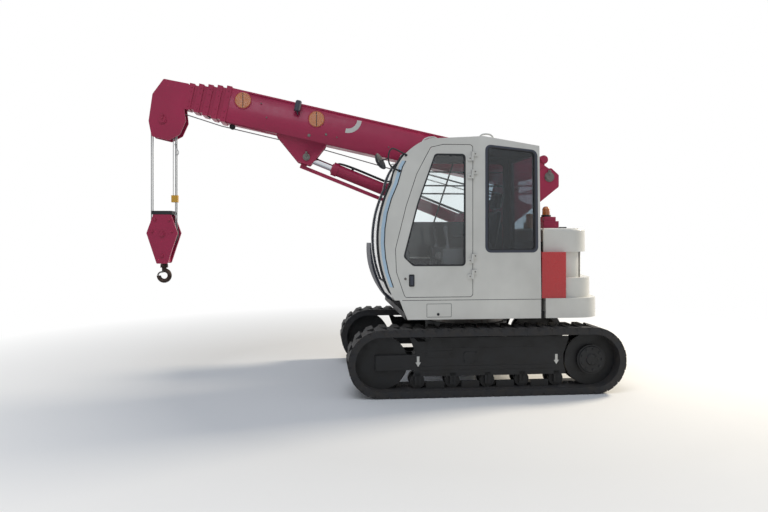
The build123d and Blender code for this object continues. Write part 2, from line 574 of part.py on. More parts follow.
def hoist():
    """Ropes below the head, the hook block with its sheave, the hook, and the rope along the boom."""
    centre_x, centre_z = boom_place(SHEAVE_S, SHEAVE_W)
    block_axle = BLOCK_TOP - 220
    ropes = []
    for y in (-38, 38):
        falls = (Pos(centre_x, BOOM_Y + y, centre_z) * half_ring(1)
                 + Pos(centre_x, BOOM_Y + y, block_axle) * half_ring(-1))
        for x in (-SHEAVE_PITCH_RADIUS, SHEAVE_PITCH_RADIUS):
            place = (centre_x + x, BOOM_Y + y)
            falls += disc_z(*place, ROPE_RADIUS, block_axle, centre_z)
        ropes.append(falls)
    write("hoist_ropes", *ropes)
    half = BLOCK_WIDTH / 2
    cheek = outline([(-half, block_axle + 10), (-half + 75, BLOCK_TOP), (half - 75, BLOCK_TOP),
                     (half, block_axle + 10), (60, BLOCK_BOTTOM), (-60, BLOCK_BOTTOM)], 12)
    cheeks = None
    for side in (-1, 1):
        y = BOOM_Y + side * (BLOCK_THICKNESS / 2 - 15)
        plate = across(Pos(centre_x, 0) * cheek, y - 15, y + 15)
        cheeks = plate if cheeks is None else cheeks + plate
    cheeks += disc_y(centre_x, block_axle, 28, BOOM_Y - BLOCK_THICKNESS / 2, BOOM_Y + BLOCK_THICKNESS / 2)
    cheeks += block(centre_x - 55, centre_x + 55, BOOM_Y - 100, BOOM_Y + 100, BLOCK_BOTTOM + 10, BLOCK_BOTTOM + 80)
    write("hook_block", cheeks)
    sheaves = [Pos(centre_x, BOOM_Y + y, block_axle) * sheave(28 + FIT_GAP) for y in (-38, 38)]
    write("block_sheaves", *sheaves)
    shank_z = BLOCK_BOTTOM + 10 - FIT_GAP
    ring = Pos(centre_x, BOOM_Y, BLOCK_BOTTOM - 140) * Rot(90, 0, 0) * Torus(60, 24)
    gap = block(centre_x - 90, centre_x - 20, BOOM_Y - 40, BOOM_Y + 40, BLOCK_BOTTOM - 140, BLOCK_BOTTOM - 40)
    shank = disc_z(centre_x, BOOM_Y, 26, BLOCK_BOTTOM - 85, shank_z)
    write("hook", (ring - gap) + shank)
    fall = centre_x + SHEAVE_PITCH_RADIUS
    weight = block(fall - 40, fall + 30, BOOM_Y - 78, BOOM_Y - 16, 1990, 2070)
    weight -= disc_z(fall, BOOM_Y - 38, ROPE_RADIUS + FIT_GAP, 1980, 2080)
    chain = disc_z(fall - 20, BOOM_Y - 65.5, 4, 2070, centre_z - 36)
    arm = block(centre_x + 34, fall - 14, BOOM_Y - 70, BOOM_Y - 61, centre_z - 46, centre_z - 34)
    arm += block(centre_x + 30, centre_x + 44, BOOM_Y - 70, BOOM_Y - 61, centre_z - 46, centre_z)
    eye = disc_y(centre_x, centre_z, 44, BOOM_Y - 70, BOOM_Y - 61)
    eye -= disc_y(centre_x, centre_z, 30 + FIT_GAP, BOOM_Y - 71, BOOM_Y - 60)
    write("overhoist_weight", weight + chain + arm + eye)
    drum = disc_y(-WINCH_S, WINCH_W, DRUM_RADIUS, -95, 95)
    drum += disc_y(-WINCH_S, WINCH_W, 25, -DRUM_HALF + FIT_GAP, DRUM_HALF - FIT_GAP)
    for y in (-95, 85):
        drum += disc_y(-WINCH_S, WINCH_W, DRUM_RADIUS + 35, y, y + 10)
    write("winch_drum", on_boom(drum))
    lead_s = SHEAVE_S - SHEAVE_RADIUS - LEAD_IN
    front_y = ROPE_SIDE * (lead_s - BASE_FRONT) / (lead_s - ROPE_TURN_S)
    stops = [(-WINCH_S, DRUM_ROPE_Y, WINCH_W + DRUM_RADIUS + ROPE_RADIUS + FIT_GAP), (-GUIDE_S, ROPE_SIDE, GUIDE_W),
             (-ROPE_TURN_S, ROPE_SIDE, GUIDE_W), (-BASE_FRONT, front_y, GUIDE_W)]
    run = rod_between(stops[0], stops[1], ROPE_RADIUS)
    for start, end in zip(stops[1:], stops[2:]):
        run += rod_between(start, end, ROPE_RADIUS)
    write("boom_rope", on_boom(run))
    tip = (-SHEAVE_S, 0, SHEAVE_W + SHEAVE_PITCH_RADIUS)
    lead = (-lead_s, 0, tip[2])
    head_run = rod_between((-BASE_FRONT - 1, front_y, GUIDE_W), lead, ROPE_RADIUS)
    write("head_rope", on_boom(head_run + rod_between(lead, tip, ROPE_RADIUS)))
    frame = on_boom(block(-WINCH_S - 90, -WINCH_S + 90, -DRUM_HALF - 24, -DRUM_HALF, WINCH_W - 90, -BOOM_DEPTH / 2)
                    + block(-WINCH_S - 90, -WINCH_S + 90, DRUM_HALF, DRUM_HALF + 24, WINCH_W - 90, -BOOM_DEPTH / 2))
    write("winch_frame", frame)


if __name__ == "__main__":
    undercarriage()
    deck()
    cab()
    cab_inside()
    turret()
    boom()
    head()
    lift_cylinder()
    hoist()
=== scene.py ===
# %% [markdown]
# Dressing a compact crawler crane. The CAD frame holds every piece that carries load or moves.
# This script gives each of them its finish and adds the small forms that make the machine look
# real: rubber lugs, seals, hinges, lamps, ropes, rails and bolts.
# The frame is loaded first, because each form below is fitted to its pieces. Its lengths are in metres.

import math

import bmesh
import bpy
from mathutils import Matrix, Vector


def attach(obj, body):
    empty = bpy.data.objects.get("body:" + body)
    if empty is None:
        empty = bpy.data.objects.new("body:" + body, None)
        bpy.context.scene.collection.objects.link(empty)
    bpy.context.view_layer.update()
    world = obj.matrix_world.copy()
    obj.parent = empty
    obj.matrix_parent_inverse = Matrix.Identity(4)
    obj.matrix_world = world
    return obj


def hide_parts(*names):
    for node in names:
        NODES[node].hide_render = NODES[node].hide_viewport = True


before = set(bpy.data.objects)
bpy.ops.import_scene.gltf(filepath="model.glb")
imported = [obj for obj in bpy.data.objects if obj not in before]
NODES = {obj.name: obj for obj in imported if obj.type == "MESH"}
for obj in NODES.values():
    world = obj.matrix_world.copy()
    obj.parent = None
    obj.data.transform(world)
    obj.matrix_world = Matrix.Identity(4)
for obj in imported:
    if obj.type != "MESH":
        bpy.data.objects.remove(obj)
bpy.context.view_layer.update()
print("CAD nodes:", len(NODES))

# %% [markdown]
# Colours are written as in a paint chart, in sRGB hex, and one function turns them into the
# linear values that Blender's shaders want. A second one feeds a node's sockets by name, each with
# a value or with another node's output, and a third adds a node with its settings and sockets.

# %% Colour and node helpers
def linear(code):
    """The linear RGBA of an sRGB hex colour such as #8A1230."""
    parts = [int(code[i:i + 2], 16) / 255 for i in (1, 3, 5)]
    values = [c / 12.92 if c <= 0.04045 else ((c + 0.055) / 1.055) ** 2.4 for c in parts]
    return (*values, 1.0)


def feed(tree, node, sockets):
    """Feed a node's sockets with values, or link them to other nodes' outputs."""
    for name, value in sockets.items():
        if isinstance(value, bpy.types.NodeSocket):
            tree.links.new(value, node.inputs[name])
        else:
            node.inputs[name].default_value = value


def add(tree, kind, settings=(), sockets=()):
    """Add one shader node, set its fields and fill its sockets with values or outputs."""
    new = tree.nodes.new("ShaderNode" + kind)
    for field, value in dict(settings).items():
        setattr(new, field, value)
    feed(tree, new, dict(sockets))
    return new


def new_material(name):
    """An empty node material with its tree, shader and object coordinates."""
    material = bpy.data.materials.new(name)
    material.use_nodes = True
    tree = material.node_tree
    tree.nodes.clear()
    shader = add(tree, "BsdfPrincipled")
    add(tree, "OutputMaterial", {"target": "ALL"}, {"Surface": shader.outputs["BSDF"]})
    place = add(tree, "TexCoord").outputs["Object"]
    return material, tree, shader, place


print("middle grey #808080 is linear", round(linear("#808080")[0], 3))


# %% [markdown]
# Machine paint is sprayed enamel over steel plate. From a step away it is not one flat colour:
# the film is a little uneven, like the skin of an orange, the colour drifts from panel to panel,
# dust settles low down and rain leaves faint streaks, and plate edges wear to a paler line.
# All of it is made from noise on Object coordinates, with scales that are real sizes: the
# peel is drawn 9 mm wide, coarser than the real 2 mm, so that it shows at all.

# %% Sprayed enamel
def enamel(name, colour, dust="#8C8577", dust_top=0.9, dust_share=0.35, worn="#B9B4AC",
           gloss=0.30, coat=0.35):
    """Sprayed enamel on steel: peel, drift, low dust, faint streaks and worn edges."""
    material, tree, shader, place = new_material(name)
    drift = add(tree, "TexNoise", (), {"Vector": place, "Scale": 1.6, "Detail": 3.0, "Roughness": 0.55})
    shade = add(tree, "MapRange", (), {"Value": drift.outputs["Fac"], "From Min": 0.3, "From Max": 0.7,
                                       "To Min": 0.88, "To Max": 1.07})
    painted = add(tree, "HueSaturation", (), {"Value": shade.outputs["Result"], "Color": linear(colour)})
    streak_place = add(tree, "Mapping", (), {"Vector": place, "Scale": (34.0, 34.0, 2.2)})
    streak = add(tree, "TexNoise", (), {"Vector": streak_place.outputs["Vector"], "Scale": 1.0,
                                        "Detail": 4.0})
    height = add(tree, "SeparateXYZ", (), {"Vector": place})
    low = add(tree, "MapRange", (), {"Value": height.outputs["Z"], "From Min": 0.0, "From Max": dust_top,
                                     "To Min": dust_share, "To Max": 0.05})
    patch = add(tree, "TexNoise", (), {"Vector": place, "Scale": 7.0, "Detail": 6.0, "Roughness": 0.65})
    patch_edge = add(tree, "MapRange", (), {"Value": patch.outputs["Fac"], "From Min": 0.38,
                                            "From Max": 0.68})
    streak_edge = add(tree, "MapRange", (), {"Value": streak.outputs["Fac"], "From Min": 0.5,
                                             "From Max": 0.85})
    grime = add(tree, "Math", {"operation": "MAXIMUM"}, {0: patch_edge.outputs["Result"],
                                                         1: streak_edge.outputs["Result"]})
    amount = add(tree, "Math", {"operation": "MULTIPLY"}, {0: grime.outputs[0], 1: low.outputs["Result"]})
    dusty = add(tree, "Mix", {"data_type": "RGBA"}, {0: amount.outputs[0], 6: painted.outputs["Color"],
                                                     7: linear(dust)})
    rounded = add(tree, "Bevel", {"samples": 4}, {"Radius": 0.006})
    geometry = add(tree, "NewGeometry")
    facing = add(tree, "VectorMath", {"operation": "DOT_PRODUCT"}, {0: rounded.outputs["Normal"],
                                                                    1: geometry.outputs["Normal"]})
    chips = add(tree, "TexNoise", (), {"Vector": place, "Scale": 55.0, "Detail": 5.0, "Roughness": 0.7})
    chip_bias = add(tree, "MapRange", (), {"Value": chips.outputs["Fac"], "From Min": 0.35, "From Max": 0.65,
                                           "To Min": -0.06, "To Max": 0.05})
    edge = add(tree, "Math", {"operation": "ADD"}, {0: facing.outputs["Value"],
                                                    1: chip_bias.outputs["Result"]})
    wear = add(tree, "MapRange", (), {"Value": edge.outputs[0], "From Min": 0.93, "From Max": 0.84,
                                      "To Min": 0.0, "To Max": 0.55})
    finished = add(tree, "Mix", {"data_type": "RGBA"}, {0: wear.outputs["Result"], 6: dusty.outputs[2],
                                                        7: linear(worn)})
    rough = add(tree, "MapRange", (), {"Value": grime.outputs[0], "To Min": gloss, "To Max": gloss + 0.28})
    peel = add(tree, "TexNoise", (), {"Vector": place, "Scale": 110.0, "Detail": 2.0})
    bump = add(tree, "Bump", (), {"Height": peel.outputs["Fac"], "Strength": 0.06, "Distance": 0.002})
    feed(tree, shader, {"Base Color": finished.outputs[2], "Roughness": rough.outputs["Result"],
                        "Normal": bump.outputs["Normal"], "Coat Weight": coat,
                        "Specular IOR Level": 0.35, "Coat Roughness": 0.12})
    return material


# %% [markdown]
# Track rubber is carbon-filled natural rubber, moulded hot. It is matt, grey-black where it is
# new, browner and paler where soil has dried on it, and its skin is full of fine scuffs. Trim and
# seals are moulded or extruded, with a fine pebbled skin, and the seat is covered in woven cloth.
# All three are noise or waves on Object coordinates, so that no piece needs an unwrapped surface.

# %% Moulded rubber, plastics and cloth
def track_rubber():
    """Carbon-filled moulded rubber with dried soil in its low places."""
    material, tree, shader, place = new_material("moulded_natural_rubber")
    patch = add(tree, "TexNoise", (), {"Vector": place, "Scale": 9.0, "Detail": 8.0, "Roughness": 0.7})
    soil = add(tree, "ValToRGB", (), {"Fac": patch.outputs["Fac"]})
    ramp = soil.color_ramp
    ramp.elements[0].position = 0.42
    ramp.elements[0].color = linear("#1E1F22")
    ramp.elements[1].position = 0.74
    ramp.elements[1].color = linear("#35312D")
    scuff = add(tree, "TexNoise", (), {"Vector": place, "Scale": 160.0, "Detail": 4.0})
    bump = add(tree, "Bump", (), {"Height": scuff.outputs["Fac"], "Strength": 0.35, "Distance": 0.003})
    rough = add(tree, "MapRange", (), {"Value": patch.outputs["Fac"], "To Min": 0.62, "To Max": 0.95})
    feed(tree, shader, {"Base Color": soil.outputs["Color"], "Roughness": rough.outputs["Result"],
                        "Normal": bump.outputs["Normal"]})
    return material


def moulded(name, colour, pale, grain=220.0, rough=0.55):
    """Moulded plastic or rubber seal: a fine pebbled skin and a little fading."""
    material, tree, shader, place = new_material(name)
    fade = add(tree, "TexNoise", (), {"Vector": place, "Scale": 5.0, "Detail": 4.0})
    colours = add(tree, "Mix", {"data_type": "RGBA"}, {0: fade.outputs["Fac"], 6: linear(colour),
                                                       7: linear(pale)})
    pebble = add(tree, "TexVoronoi", (), {"Vector": place, "Scale": grain})
    bump = add(tree, "Bump", (), {"Height": pebble.outputs["Distance"], "Strength": 0.18, "Distance": 0.001})
    dull = add(tree, "MapRange", (), {"Value": fade.outputs["Fac"], "To Min": rough - 0.1,
                                      "To Max": rough + 0.12})
    feed(tree, shader, {"Base Color": colours.outputs[2], "Roughness": dull.outputs["Result"],
                        "Normal": bump.outputs["Normal"]})
    return material


def seat_cloth():
    """Woven polyester seat cloth, its threads drawn 4 mm apart so that they show."""
    material, tree, shader, place = new_material("woven_polyester_cloth")
    warp = add(tree, "TexWave", {"bands_direction": "X"}, {"Vector": place, "Scale": 80.0, "Distortion": 0.4})
    weft = add(tree, "TexWave", {"bands_direction": "Z"}, {"Vector": place, "Scale": 80.0, "Distortion": 0.4})
    weave = add(tree, "Math", {"operation": "MULTIPLY"}, {0: warp.outputs["Fac"], 1: weft.outputs["Fac"]})
    colours = add(tree, "Mix", {"data_type": "RGBA"}, {0: weave.outputs[0], 6: linear("#1B1D21"),
                                                       7: linear("#3B3E45")})
    bump = add(tree, "Bump", (), {"Height": weave.outputs[0], "Strength": 0.5, "Distance": 0.002})
    feed(tree, shader, {"Base Color": colours.outputs[2], "Normal": bump.outputs["Normal"],
                        "Roughness": 0.9, "Sheen Weight": 0.4})
    return material


# %% [markdown]
# Metals keep the default index of refraction and differ in roughness and in what is on them.
# Pins, bolts, wheels and the slewing ring are machined steel, stained brown where nothing rubs
# them. A ground and chromed rod is nearly a mirror with fine scratches along it, and rope is
# galvanised wire, dull and grey. Glass has one body colour and a thin patchy film of dust, and
# lamps and reflectors are clear coloured plastic with moulded prism lines.

# %% Bare metals and glass
def metal(name, colour, stain, rough, scratch=(240.0, 24.0, 240.0), stain_from=0.55):
    """Bare metal with brushed scratches and stains."""
    material, tree, shader, place = new_material(name)
    patch = add(tree, "TexNoise", (), {"Vector": place, "Scale": 14.0, "Detail": 7.0, "Roughness": 0.65})
    stained = add(tree, "MapRange", (), {"Value": patch.outputs["Fac"], "From Min": stain_from,
                                         "From Max": stain_from + 0.2})
    colours = add(tree, "Mix", {"data_type": "RGBA"}, {0: stained.outputs["Result"], 6: linear(colour),
                                                       7: linear(stain)})
    stretched = add(tree, "Mapping", (), {"Vector": place, "Scale": scratch})
    fine = add(tree, "TexNoise", (), {"Vector": stretched.outputs["Vector"], "Scale": 1.0, "Detail": 2.0})
    dull = add(tree, "MapRange", (), {"Value": fine.outputs["Fac"], "To Min": rough - 0.08,
                                      "To Max": rough + 0.16})
    bump = add(tree, "Bump", (), {"Height": fine.outputs["Fac"], "Strength": 0.08, "Distance": 0.001})
    feed(tree, shader, {"Base Color": colours.outputs[2], "Roughness": dull.outputs["Result"],
                        "Normal": bump.outputs["Normal"], "Metallic": 1.0})
    return material


def window_glass(name, colour):
    """Toughened glass in one body colour, under a thin patchy film of dust."""
    material, tree, shader, place = new_material(name)
    dust = add(tree, "TexNoise", (), {"Vector": place, "Scale": 6.0, "Detail": 5.0})
    haze = add(tree, "MapRange", (), {"Value": dust.outputs["Fac"], "From Min": 0.45, "From Max": 0.8,
                                      "To Min": 0.02, "To Max": 0.12})
    feed(tree, shader, {"Roughness": haze.outputs["Result"], "Base Color": linear(colour),
                        "Transmission Weight": 1.0, "IOR": 1.45})
    return material


def clear_plastic(name, colour, pale):
    """Clear coloured polycarbonate with moulded prism lines, as on lamps and reflectors."""
    material, tree, shader, place = new_material(name)
    prism = add(tree, "TexWave", {"bands_direction": "Z"}, {"Vector": place, "Scale": 45.0})
    cells = add(tree, "TexVoronoi", (), {"Vector": place, "Scale": 90.0})
    colours = add(tree, "Mix", {"data_type": "RGBA"}, {0: cells.outputs["Distance"], 6: linear(colour),
                                                       7: linear(pale)})
    bump = add(tree, "Bump", (), {"Height": prism.outputs["Fac"], "Strength": 0.5, "Distance": 0.003})
    feed(tree, shader, {"Base Color": colours.outputs[2], "Normal": bump.outputs["Normal"],
                        "Roughness": 0.15, "Coat Weight": 0.8})
    return material


# %% [markdown]
# With the recipes in place, the machine's own finishes are mixed here, each named for what it is and
# how its surface was made. Their colours were matched by comparing renders with the photograph,
# because the light in it changes every colour.

# %% The machine's finishes
RED = enamel("crimson_enamel", "#A31D48", worn="#B8475C", gloss=0.34, coat=0.12)
PANEL_RED = enamel("signal_red_enamel", "#BE1620", worn="#C8545A", gloss=0.16, coat=0.6)
WHITE = enamel("off_white_enamel", "#D3D2CB", worn="#E4E2DC", dust_share=0.22, gloss=0.32)
BLACK = enamel("satin_black_enamel", "#17191C", dust="#3A362F", worn="#3C3D40", dust_share=0.4,
               gloss=0.45, coat=0.0)
YELLOW = enamel("yellow_enamel", "#E3A91F", worn="#8D7B4A", dust_top=6.0, gloss=0.4, coat=0.1)
RUBBER = track_rubber()
DARK = moulded("moulded_slate_plastic", "#2A2E3A", "#373C48")
SEAL = moulded("extruded_seal_rubber", "#141518", "#23252A", rough=0.7)
TRIM = moulded("textured_abs_trim", "#3A3D43", "#4A4D54")
CLOTH = seat_cloth()
STEEL = metal("worn_roller_steel", "#6A6866", "#4A3A2E", 0.45)
CHROME = metal("chromed_rod", "#C9CCD1", "#B5B9BF", 0.12, scratch=(18.0, 260.0, 260.0), stain_from=0.8)
WIRE = metal("galvanised_wire", "#8B8E90", "#5C5A55", 0.42, scratch=(300.0, 300.0, 60.0))
FORGED = metal("forged_oiled_steel", "#4A403C", "#2B2523", 0.5, stain_from=0.45)
IRON = metal("cast_iron", "#5A5B5D", "#3B332C", 0.6)
GLASS = window_glass("clear_toughened_glass", "#F2F7F8")
TINTED = window_glass("tinted_toughened_glass", "#8797A3")
# The glass edge band is pale blue paint standing for the sky mirrored in the windscreen's edge: a painted
# reflection.
PAINTED_SKY_REFLECTION = enamel("glass_edge_painted_sky_reflection", "#A9C6DA", dust_share=0.05, gloss=0.08, coat=0.8)
AMBER = clear_plastic("amber_polycarbonate", "#B5560E", "#D67C28")
print("materials:", len(bpy.data.materials))

# %% [markdown]
# Each CAD node is given its finish through its own material slots. It could be done node by node,
# but one table of finishes is easier to read and to check against the machine.

# %% Finish of each CAD node
FINISHES = (
    (RED, ("turret", "boom_base", "winch_frame", "boom_section_2", "boom_section_3", "boom_section_4",
           "boom_section_5", "boom_head", "lift_barrel", "hook_block")),
    (PANEL_RED, ("rear_panels",)),
    (WHITE, ("side_skirts", "right_box", "counterweight", "engine_hood", "cab_shell", "door")),
    (BLACK, ("track_frames", "track_rollers", "idlers", "sprockets", "travel_motors", "car_body", "deck")),
    (RUBBER, ("track_left", "track_right")),
    (DARK, ("front_cowl", "door_handle")),
    (TRIM, ("seat_base", "consoles")),
    (CLOTH, ("seat",)),
    (STEEL, ("slew_ring", "winch_drum", "head_sheaves", "block_sheaves")),
    (CHROME, ("lift_rod",)),
    (WIRE, ("boom_rope", "head_rope", "hoist_ropes")),
    (FORGED, ("hook",)),
    (IRON, ("engine",)),
    (GLASS, ("windscreen", "cab_glass", "door_glass")),
    (AMBER, ("beacon",)),
    (YELLOW, ("overhoist_weight",)),
)
for material, names in FINISHES:
    for name in names:
        data = NODES[name].data
        data.materials.clear()
        data.materials.append(material)
print("dressed:", sum(len(names) for _, names in FINISHES), "of", len(NODES))

# %% [markdown]
# The inner sides of cab and door are lined with dark trim, which is why the cab looks dark through
# its glass. The steel shell is one CAD node, so the faces that look towards the middle of the cab
# get a second material slot, and its outer faces keep the paint. Later cells use the same function
# where another node has two finishes.

# %% Dark trim inside the cab
CAB_MIDDLE = Vector((-0.30, -0.555, 1.80))
FACING_IN = 0.25


def second_finish(node, material, chosen):
    """Give a second material slot to the faces of a CAD node that a test chooses."""
    data = NODES[node].data
    data.materials.append(material)
    count = 0
    for polygon in data.polygons:
        if chosen(polygon):
            polygon.material_index = 1
            count += 1
    print(f"{node}: {material.name} on {count} of {len(data.polygons)} faces")


def faces_cab_middle(polygon):
    """Whether a face looks towards the middle of the cab."""
    return polygon.normal.dot((CAB_MIDDLE - polygon.center).normalized()) > FACING_IN


for name in ("cab_shell", "door"):
    second_finish(name, TRIM, faces_cab_middle)

# %% [markdown]
# Every added piece is built in a bmesh, in millimetres as on a drawing, and then scaled to metres.
# A few small helpers put a box or a round bar into an open bmesh, so that a piece of many parts
# is still one object. A bar is placed by its two ends, which saves working out its angles.

# %% Boxes and bars
MM = 0.001


def put(shape, made, matrix):
    """Place what a create_ operator made."""
    bmesh.ops.transform(shape, matrix=matrix, verts=made["verts"])


def add_box(shape, low, high):
    """A box between two corners."""
    low, high = Vector(low), Vector(high)
    size = Matrix.Diagonal((*(high - low), 1.0))
    put(shape, bmesh.ops.create_cube(shape, size=1.0), Matrix.Translation((low + high) / 2) @ size)


def add_bar(shape, start, end, radius, sides=16, tip=None):
    """A round bar, a cone or, with six sides, a bolt head, from start to end."""
    start, end = Vector(start), Vector(end)
    along = end - start
    made = bmesh.ops.create_cone(shape, cap_ends=True, segments=sides, radius1=radius,
                                 radius2=radius if tip is None else tip, depth=along.length)
    turn = along.to_track_quat("Z", "Y").to_matrix().to_4x4()
    put(shape, made, Matrix.Translation((start + end) / 2) @ turn)


# %% [markdown]
# Sheet metal and seals are flat shapes with round corners. Each is drawn as one face in the side
# view, its corners are bevelled, and it is then extruded sideways. A frame is the same face with
# its middle taken out by an inset, which keeps the strip equally wide round every corner.

# %% Flat plates and rings
PLATE_CORNER, RING_CORNER = 5, 6    # segments of a rounded corner


def merge_into(shape, other):
    """Move the contents of one bmesh into another."""
    mesh = bpy.data.meshes.new("part")
    other.to_mesh(mesh)
    other.free()
    shape.from_mesh(mesh)
    bpy.data.meshes.remove(mesh)


def flat_face(corners, y, rounding, segments):
    """One flat face drawn in the side view, in x and z, its corners rounded."""
    flat = bmesh.new()
    flat.faces.new([flat.verts.new((x, y, z)) for x, z in corners])
    if rounding:
        bmesh.ops.bevel(flat, geom=flat.verts[:], offset=rounding, segments=segments, profile=0.5,
                        affect="VERTICES", material=-1)
    return flat


def extrude_into(shape, flat, depth):
    """Extrude flat faces sideways and move them into the open bmesh."""
    made = bmesh.ops.extrude_face_region(flat, geom=flat.faces[:])
    moved = [item for item in made["geom"] if isinstance(item, bmesh.types.BMVert)]
    bmesh.ops.translate(flat, verts=moved, vec=(0, depth, 0))
    merge_into(shape, flat)


def add_plate(shape, corners, y0, y1, rounding=0.0):
    """A flat plate from y0 to y1."""
    extrude_into(shape, flat_face(corners, y0, rounding, PLATE_CORNER), y1 - y0)


def add_ring(shape, corners, y0, y1, width, rounding):
    """A flat frame inside an outline, such as a window seal."""
    flat = flat_face(corners, y0, rounding, RING_CORNER)
    rim = set(bmesh.ops.inset_region(flat, faces=flat.faces[:], thickness=width, use_even_offset=True,
                                     use_boundary=True)["faces"])
    bmesh.ops.delete(flat, geom=[face for face in flat.faces if face not in rim], context="FACES")
    extrude_into(shape, flat, y1 - y0)


def rectangle(x0, z0, x1, z1):
    """The four corners of an upright rectangle in the side view."""
    return [(x0, z0), (x1, z0), (x1, z1), (x0, z1)]


def side_span(side, near, far, middle=0.0):
    """The y of a plate's two faces on one side of a middle, the lower first."""
    return sorted((middle + side * near, middle + side * far))


# %% [markdown]
# Rails, hoses and handholds are bent tubes. A curve with a round bevel follows a few points in one
# smooth line, as a pipe bender does, and its mesh is then taken over. The last helper closes every
# piece: it rounds the sharp edges, because nothing on a real machine has a perfectly sharp one,
# turns all faces outwards and hangs the piece on its body.

# %% Bent tubes and closing a piece
def add_tube(shape, points, radius):
    """A bent tube whose smooth middle line follows the points."""
    curve = bpy.data.curves.new("tube", "CURVE")
    curve.dimensions = "3D"
    curve.bevel_depth = radius
    curve.bevel_resolution = 3
    curve.resolution_u = 8
    curve.use_fill_caps = True
    spline = curve.splines.new("NURBS")
    spline.points.add(len(points) - 1)
    for point, place in zip(spline.points, points):
        point.co = (*place, 1.0)
    spline.order_u = 3
    spline.use_endpoint_u = True
    holder = bpy.data.objects.new("tube", curve)
    mesh = bpy.data.meshes.new_from_object(holder)
    shape.from_mesh(mesh)
    bpy.data.objects.remove(holder)
    bpy.data.curves.remove(curve)
    bpy.data.meshes.remove(mesh)


def close_piece(name, shape, material, body, rounding=0.0, crease=32.0):
    """Finish a piece: round its sharp edges, turn its faces outwards, and hang it on its body."""
    bmesh.ops.remove_doubles(shape, verts=shape.verts[:], dist=0.005)
    if rounding:
        sharp = [edge for edge in shape.edges if len(edge.link_faces) == 2
                 and edge.calc_face_angle() > math.radians(crease)]
        bmesh.ops.bevel(shape, geom=sharp, offset=rounding, offset_type="OFFSET", segments=2, profile=0.5,
                        affect="EDGES", material=-1, clamp_overlap=True)
    bmesh.ops.recalc_face_normals(shape, faces=shape.faces[:])
    bmesh.ops.scale(shape, vec=(MM, MM, MM), verts=shape.verts[:])
    mesh = bpy.data.meshes.new(name)
    shape.to_mesh(mesh)
    shape.free()
    mesh.materials.append(material)
    mesh.shade_smooth()
    mesh.set_sharp_from_angle(angle=math.radians(crease))
    piece = bpy.data.objects.new(name, mesh)
    flatter = piece.modifiers.new("flat_faces", "WEIGHTED_NORMAL")
    flatter.keep_sharp = True
    bpy.context.scene.collection.objects.link(piece)
    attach(piece, body)
    print(name, "faces:", len(mesh.polygons))
    return piece


# %% [markdown]
# Many small pieces sit on the boom, which slopes up towards its head. A fitter would measure their
# places along the boom from its pivot and square to it, so they are written that way here. Two
# functions turn such a place into the machine's own axes and back, by the boom's one angle.

# %% Places along the boom
BOOM_ANGLE = math.radians(12.0)
PIVOT_X, PIVOT_Z, BOOM_Y = 1013.0, 2305.0, 190.0
ROD_EYE = (2845.0, -385.0)          # of the lift cylinder, along the boom and square to it
HEAD_SHEAVE = (4510.0, -330.0)      # of the head's lower rope wheel


def boom_point(forward, rise, y=0.0):
    """A point given along the boom from its pivot, square to it, and sideways from its middle."""
    return (PIVOT_X - forward * math.cos(BOOM_ANGLE) + rise * math.sin(BOOM_ANGLE), BOOM_Y + y,
            PIVOT_Z + forward * math.sin(BOOM_ANGLE) + rise * math.cos(BOOM_ANGLE))


def along_boom(x, z):
    """The distance along the boom and the rise square to it of a point in the side view."""
    dx, dz = x - PIVOT_X, z - PIVOT_Z
    return (-dx * math.cos(BOOM_ANGLE) + dz * math.sin(BOOM_ANGLE),
            dx * math.sin(BOOM_ANGLE) + dz * math.cos(BOOM_ANGLE))


def boom_outline(*places):
    """The side view's corners of a plate that is drawn along the boom."""
    return [boom_point(forward, rise)[::2] for forward, rise in places]


print("rope wheel in the boom head at", [round(value) for value in boom_point(*HEAD_SHEAVE)])

# %% [markdown]
# The door and the side windows sit in black rubber seals. A seal is an extruded strip pressed over
# the steel edge, so it stands a little proud on the outside, with round corners. Each is a flat ring
# round the opening. The door's outer gap shows as a dark line, because a hollow bulb seal closes it:
# its ring is drawn inside an outline a little larger than the door, so that it lies in the gap.

# %% Window and door seals
DOOR_SIDE = -1050.0
DOOR_EDGE = [(-850, 1000), (-935, 1250), (-945, 1480), (-836, 1915), (-729, 2237), (-590, 2500),
             (-460, 2530), (-165, 2530), (-165, 1000)]
DOOR_WINDOW = [(-770, 1308), (-868, 1400), (-729, 1937), (-550, 2440), (-235, 2440), (-235, 1308)]
REAR_WINDOW = [(-10, 1466), (495, 1466), (485, 2470), (-10, 2520)]
DOOR_X, DOOR_Z = -555.0, 1765.0
GAP_X, GAP_Z = 1.015, 1.0075

for name, opening, body in (("door_window_seal", DOOR_WINDOW, "door"),
                            ("rear_window_seal", REAR_WINDOW, "upper")):
    seal = bmesh.new()
    add_ring(seal, opening, DOOR_SIDE - 3.0, DOOR_SIDE + 24.0, 15.0, 40.0)
    close_piece(name, seal, SEAL, body, 2.0)
seal = bmesh.new()
gap = [(DOOR_X + (x - DOOR_X) * GAP_X, DOOR_Z + (z - DOOR_Z) * GAP_Z) for x, z in DOOR_EDGE]
add_ring(seal, gap, DOOR_SIDE + 4.0, DOOR_SIDE + 30.0, 5.4, 33.0)
close_piece("door_bulb_seal", seal, SEAL, "upper")

# %% [markdown]
# The door has a pull handle in a black moulded recess, with a key lock ahead of it. The hinge
# barrels are in the frame, and here a bolt goes into each strap, on the door and on the cab.

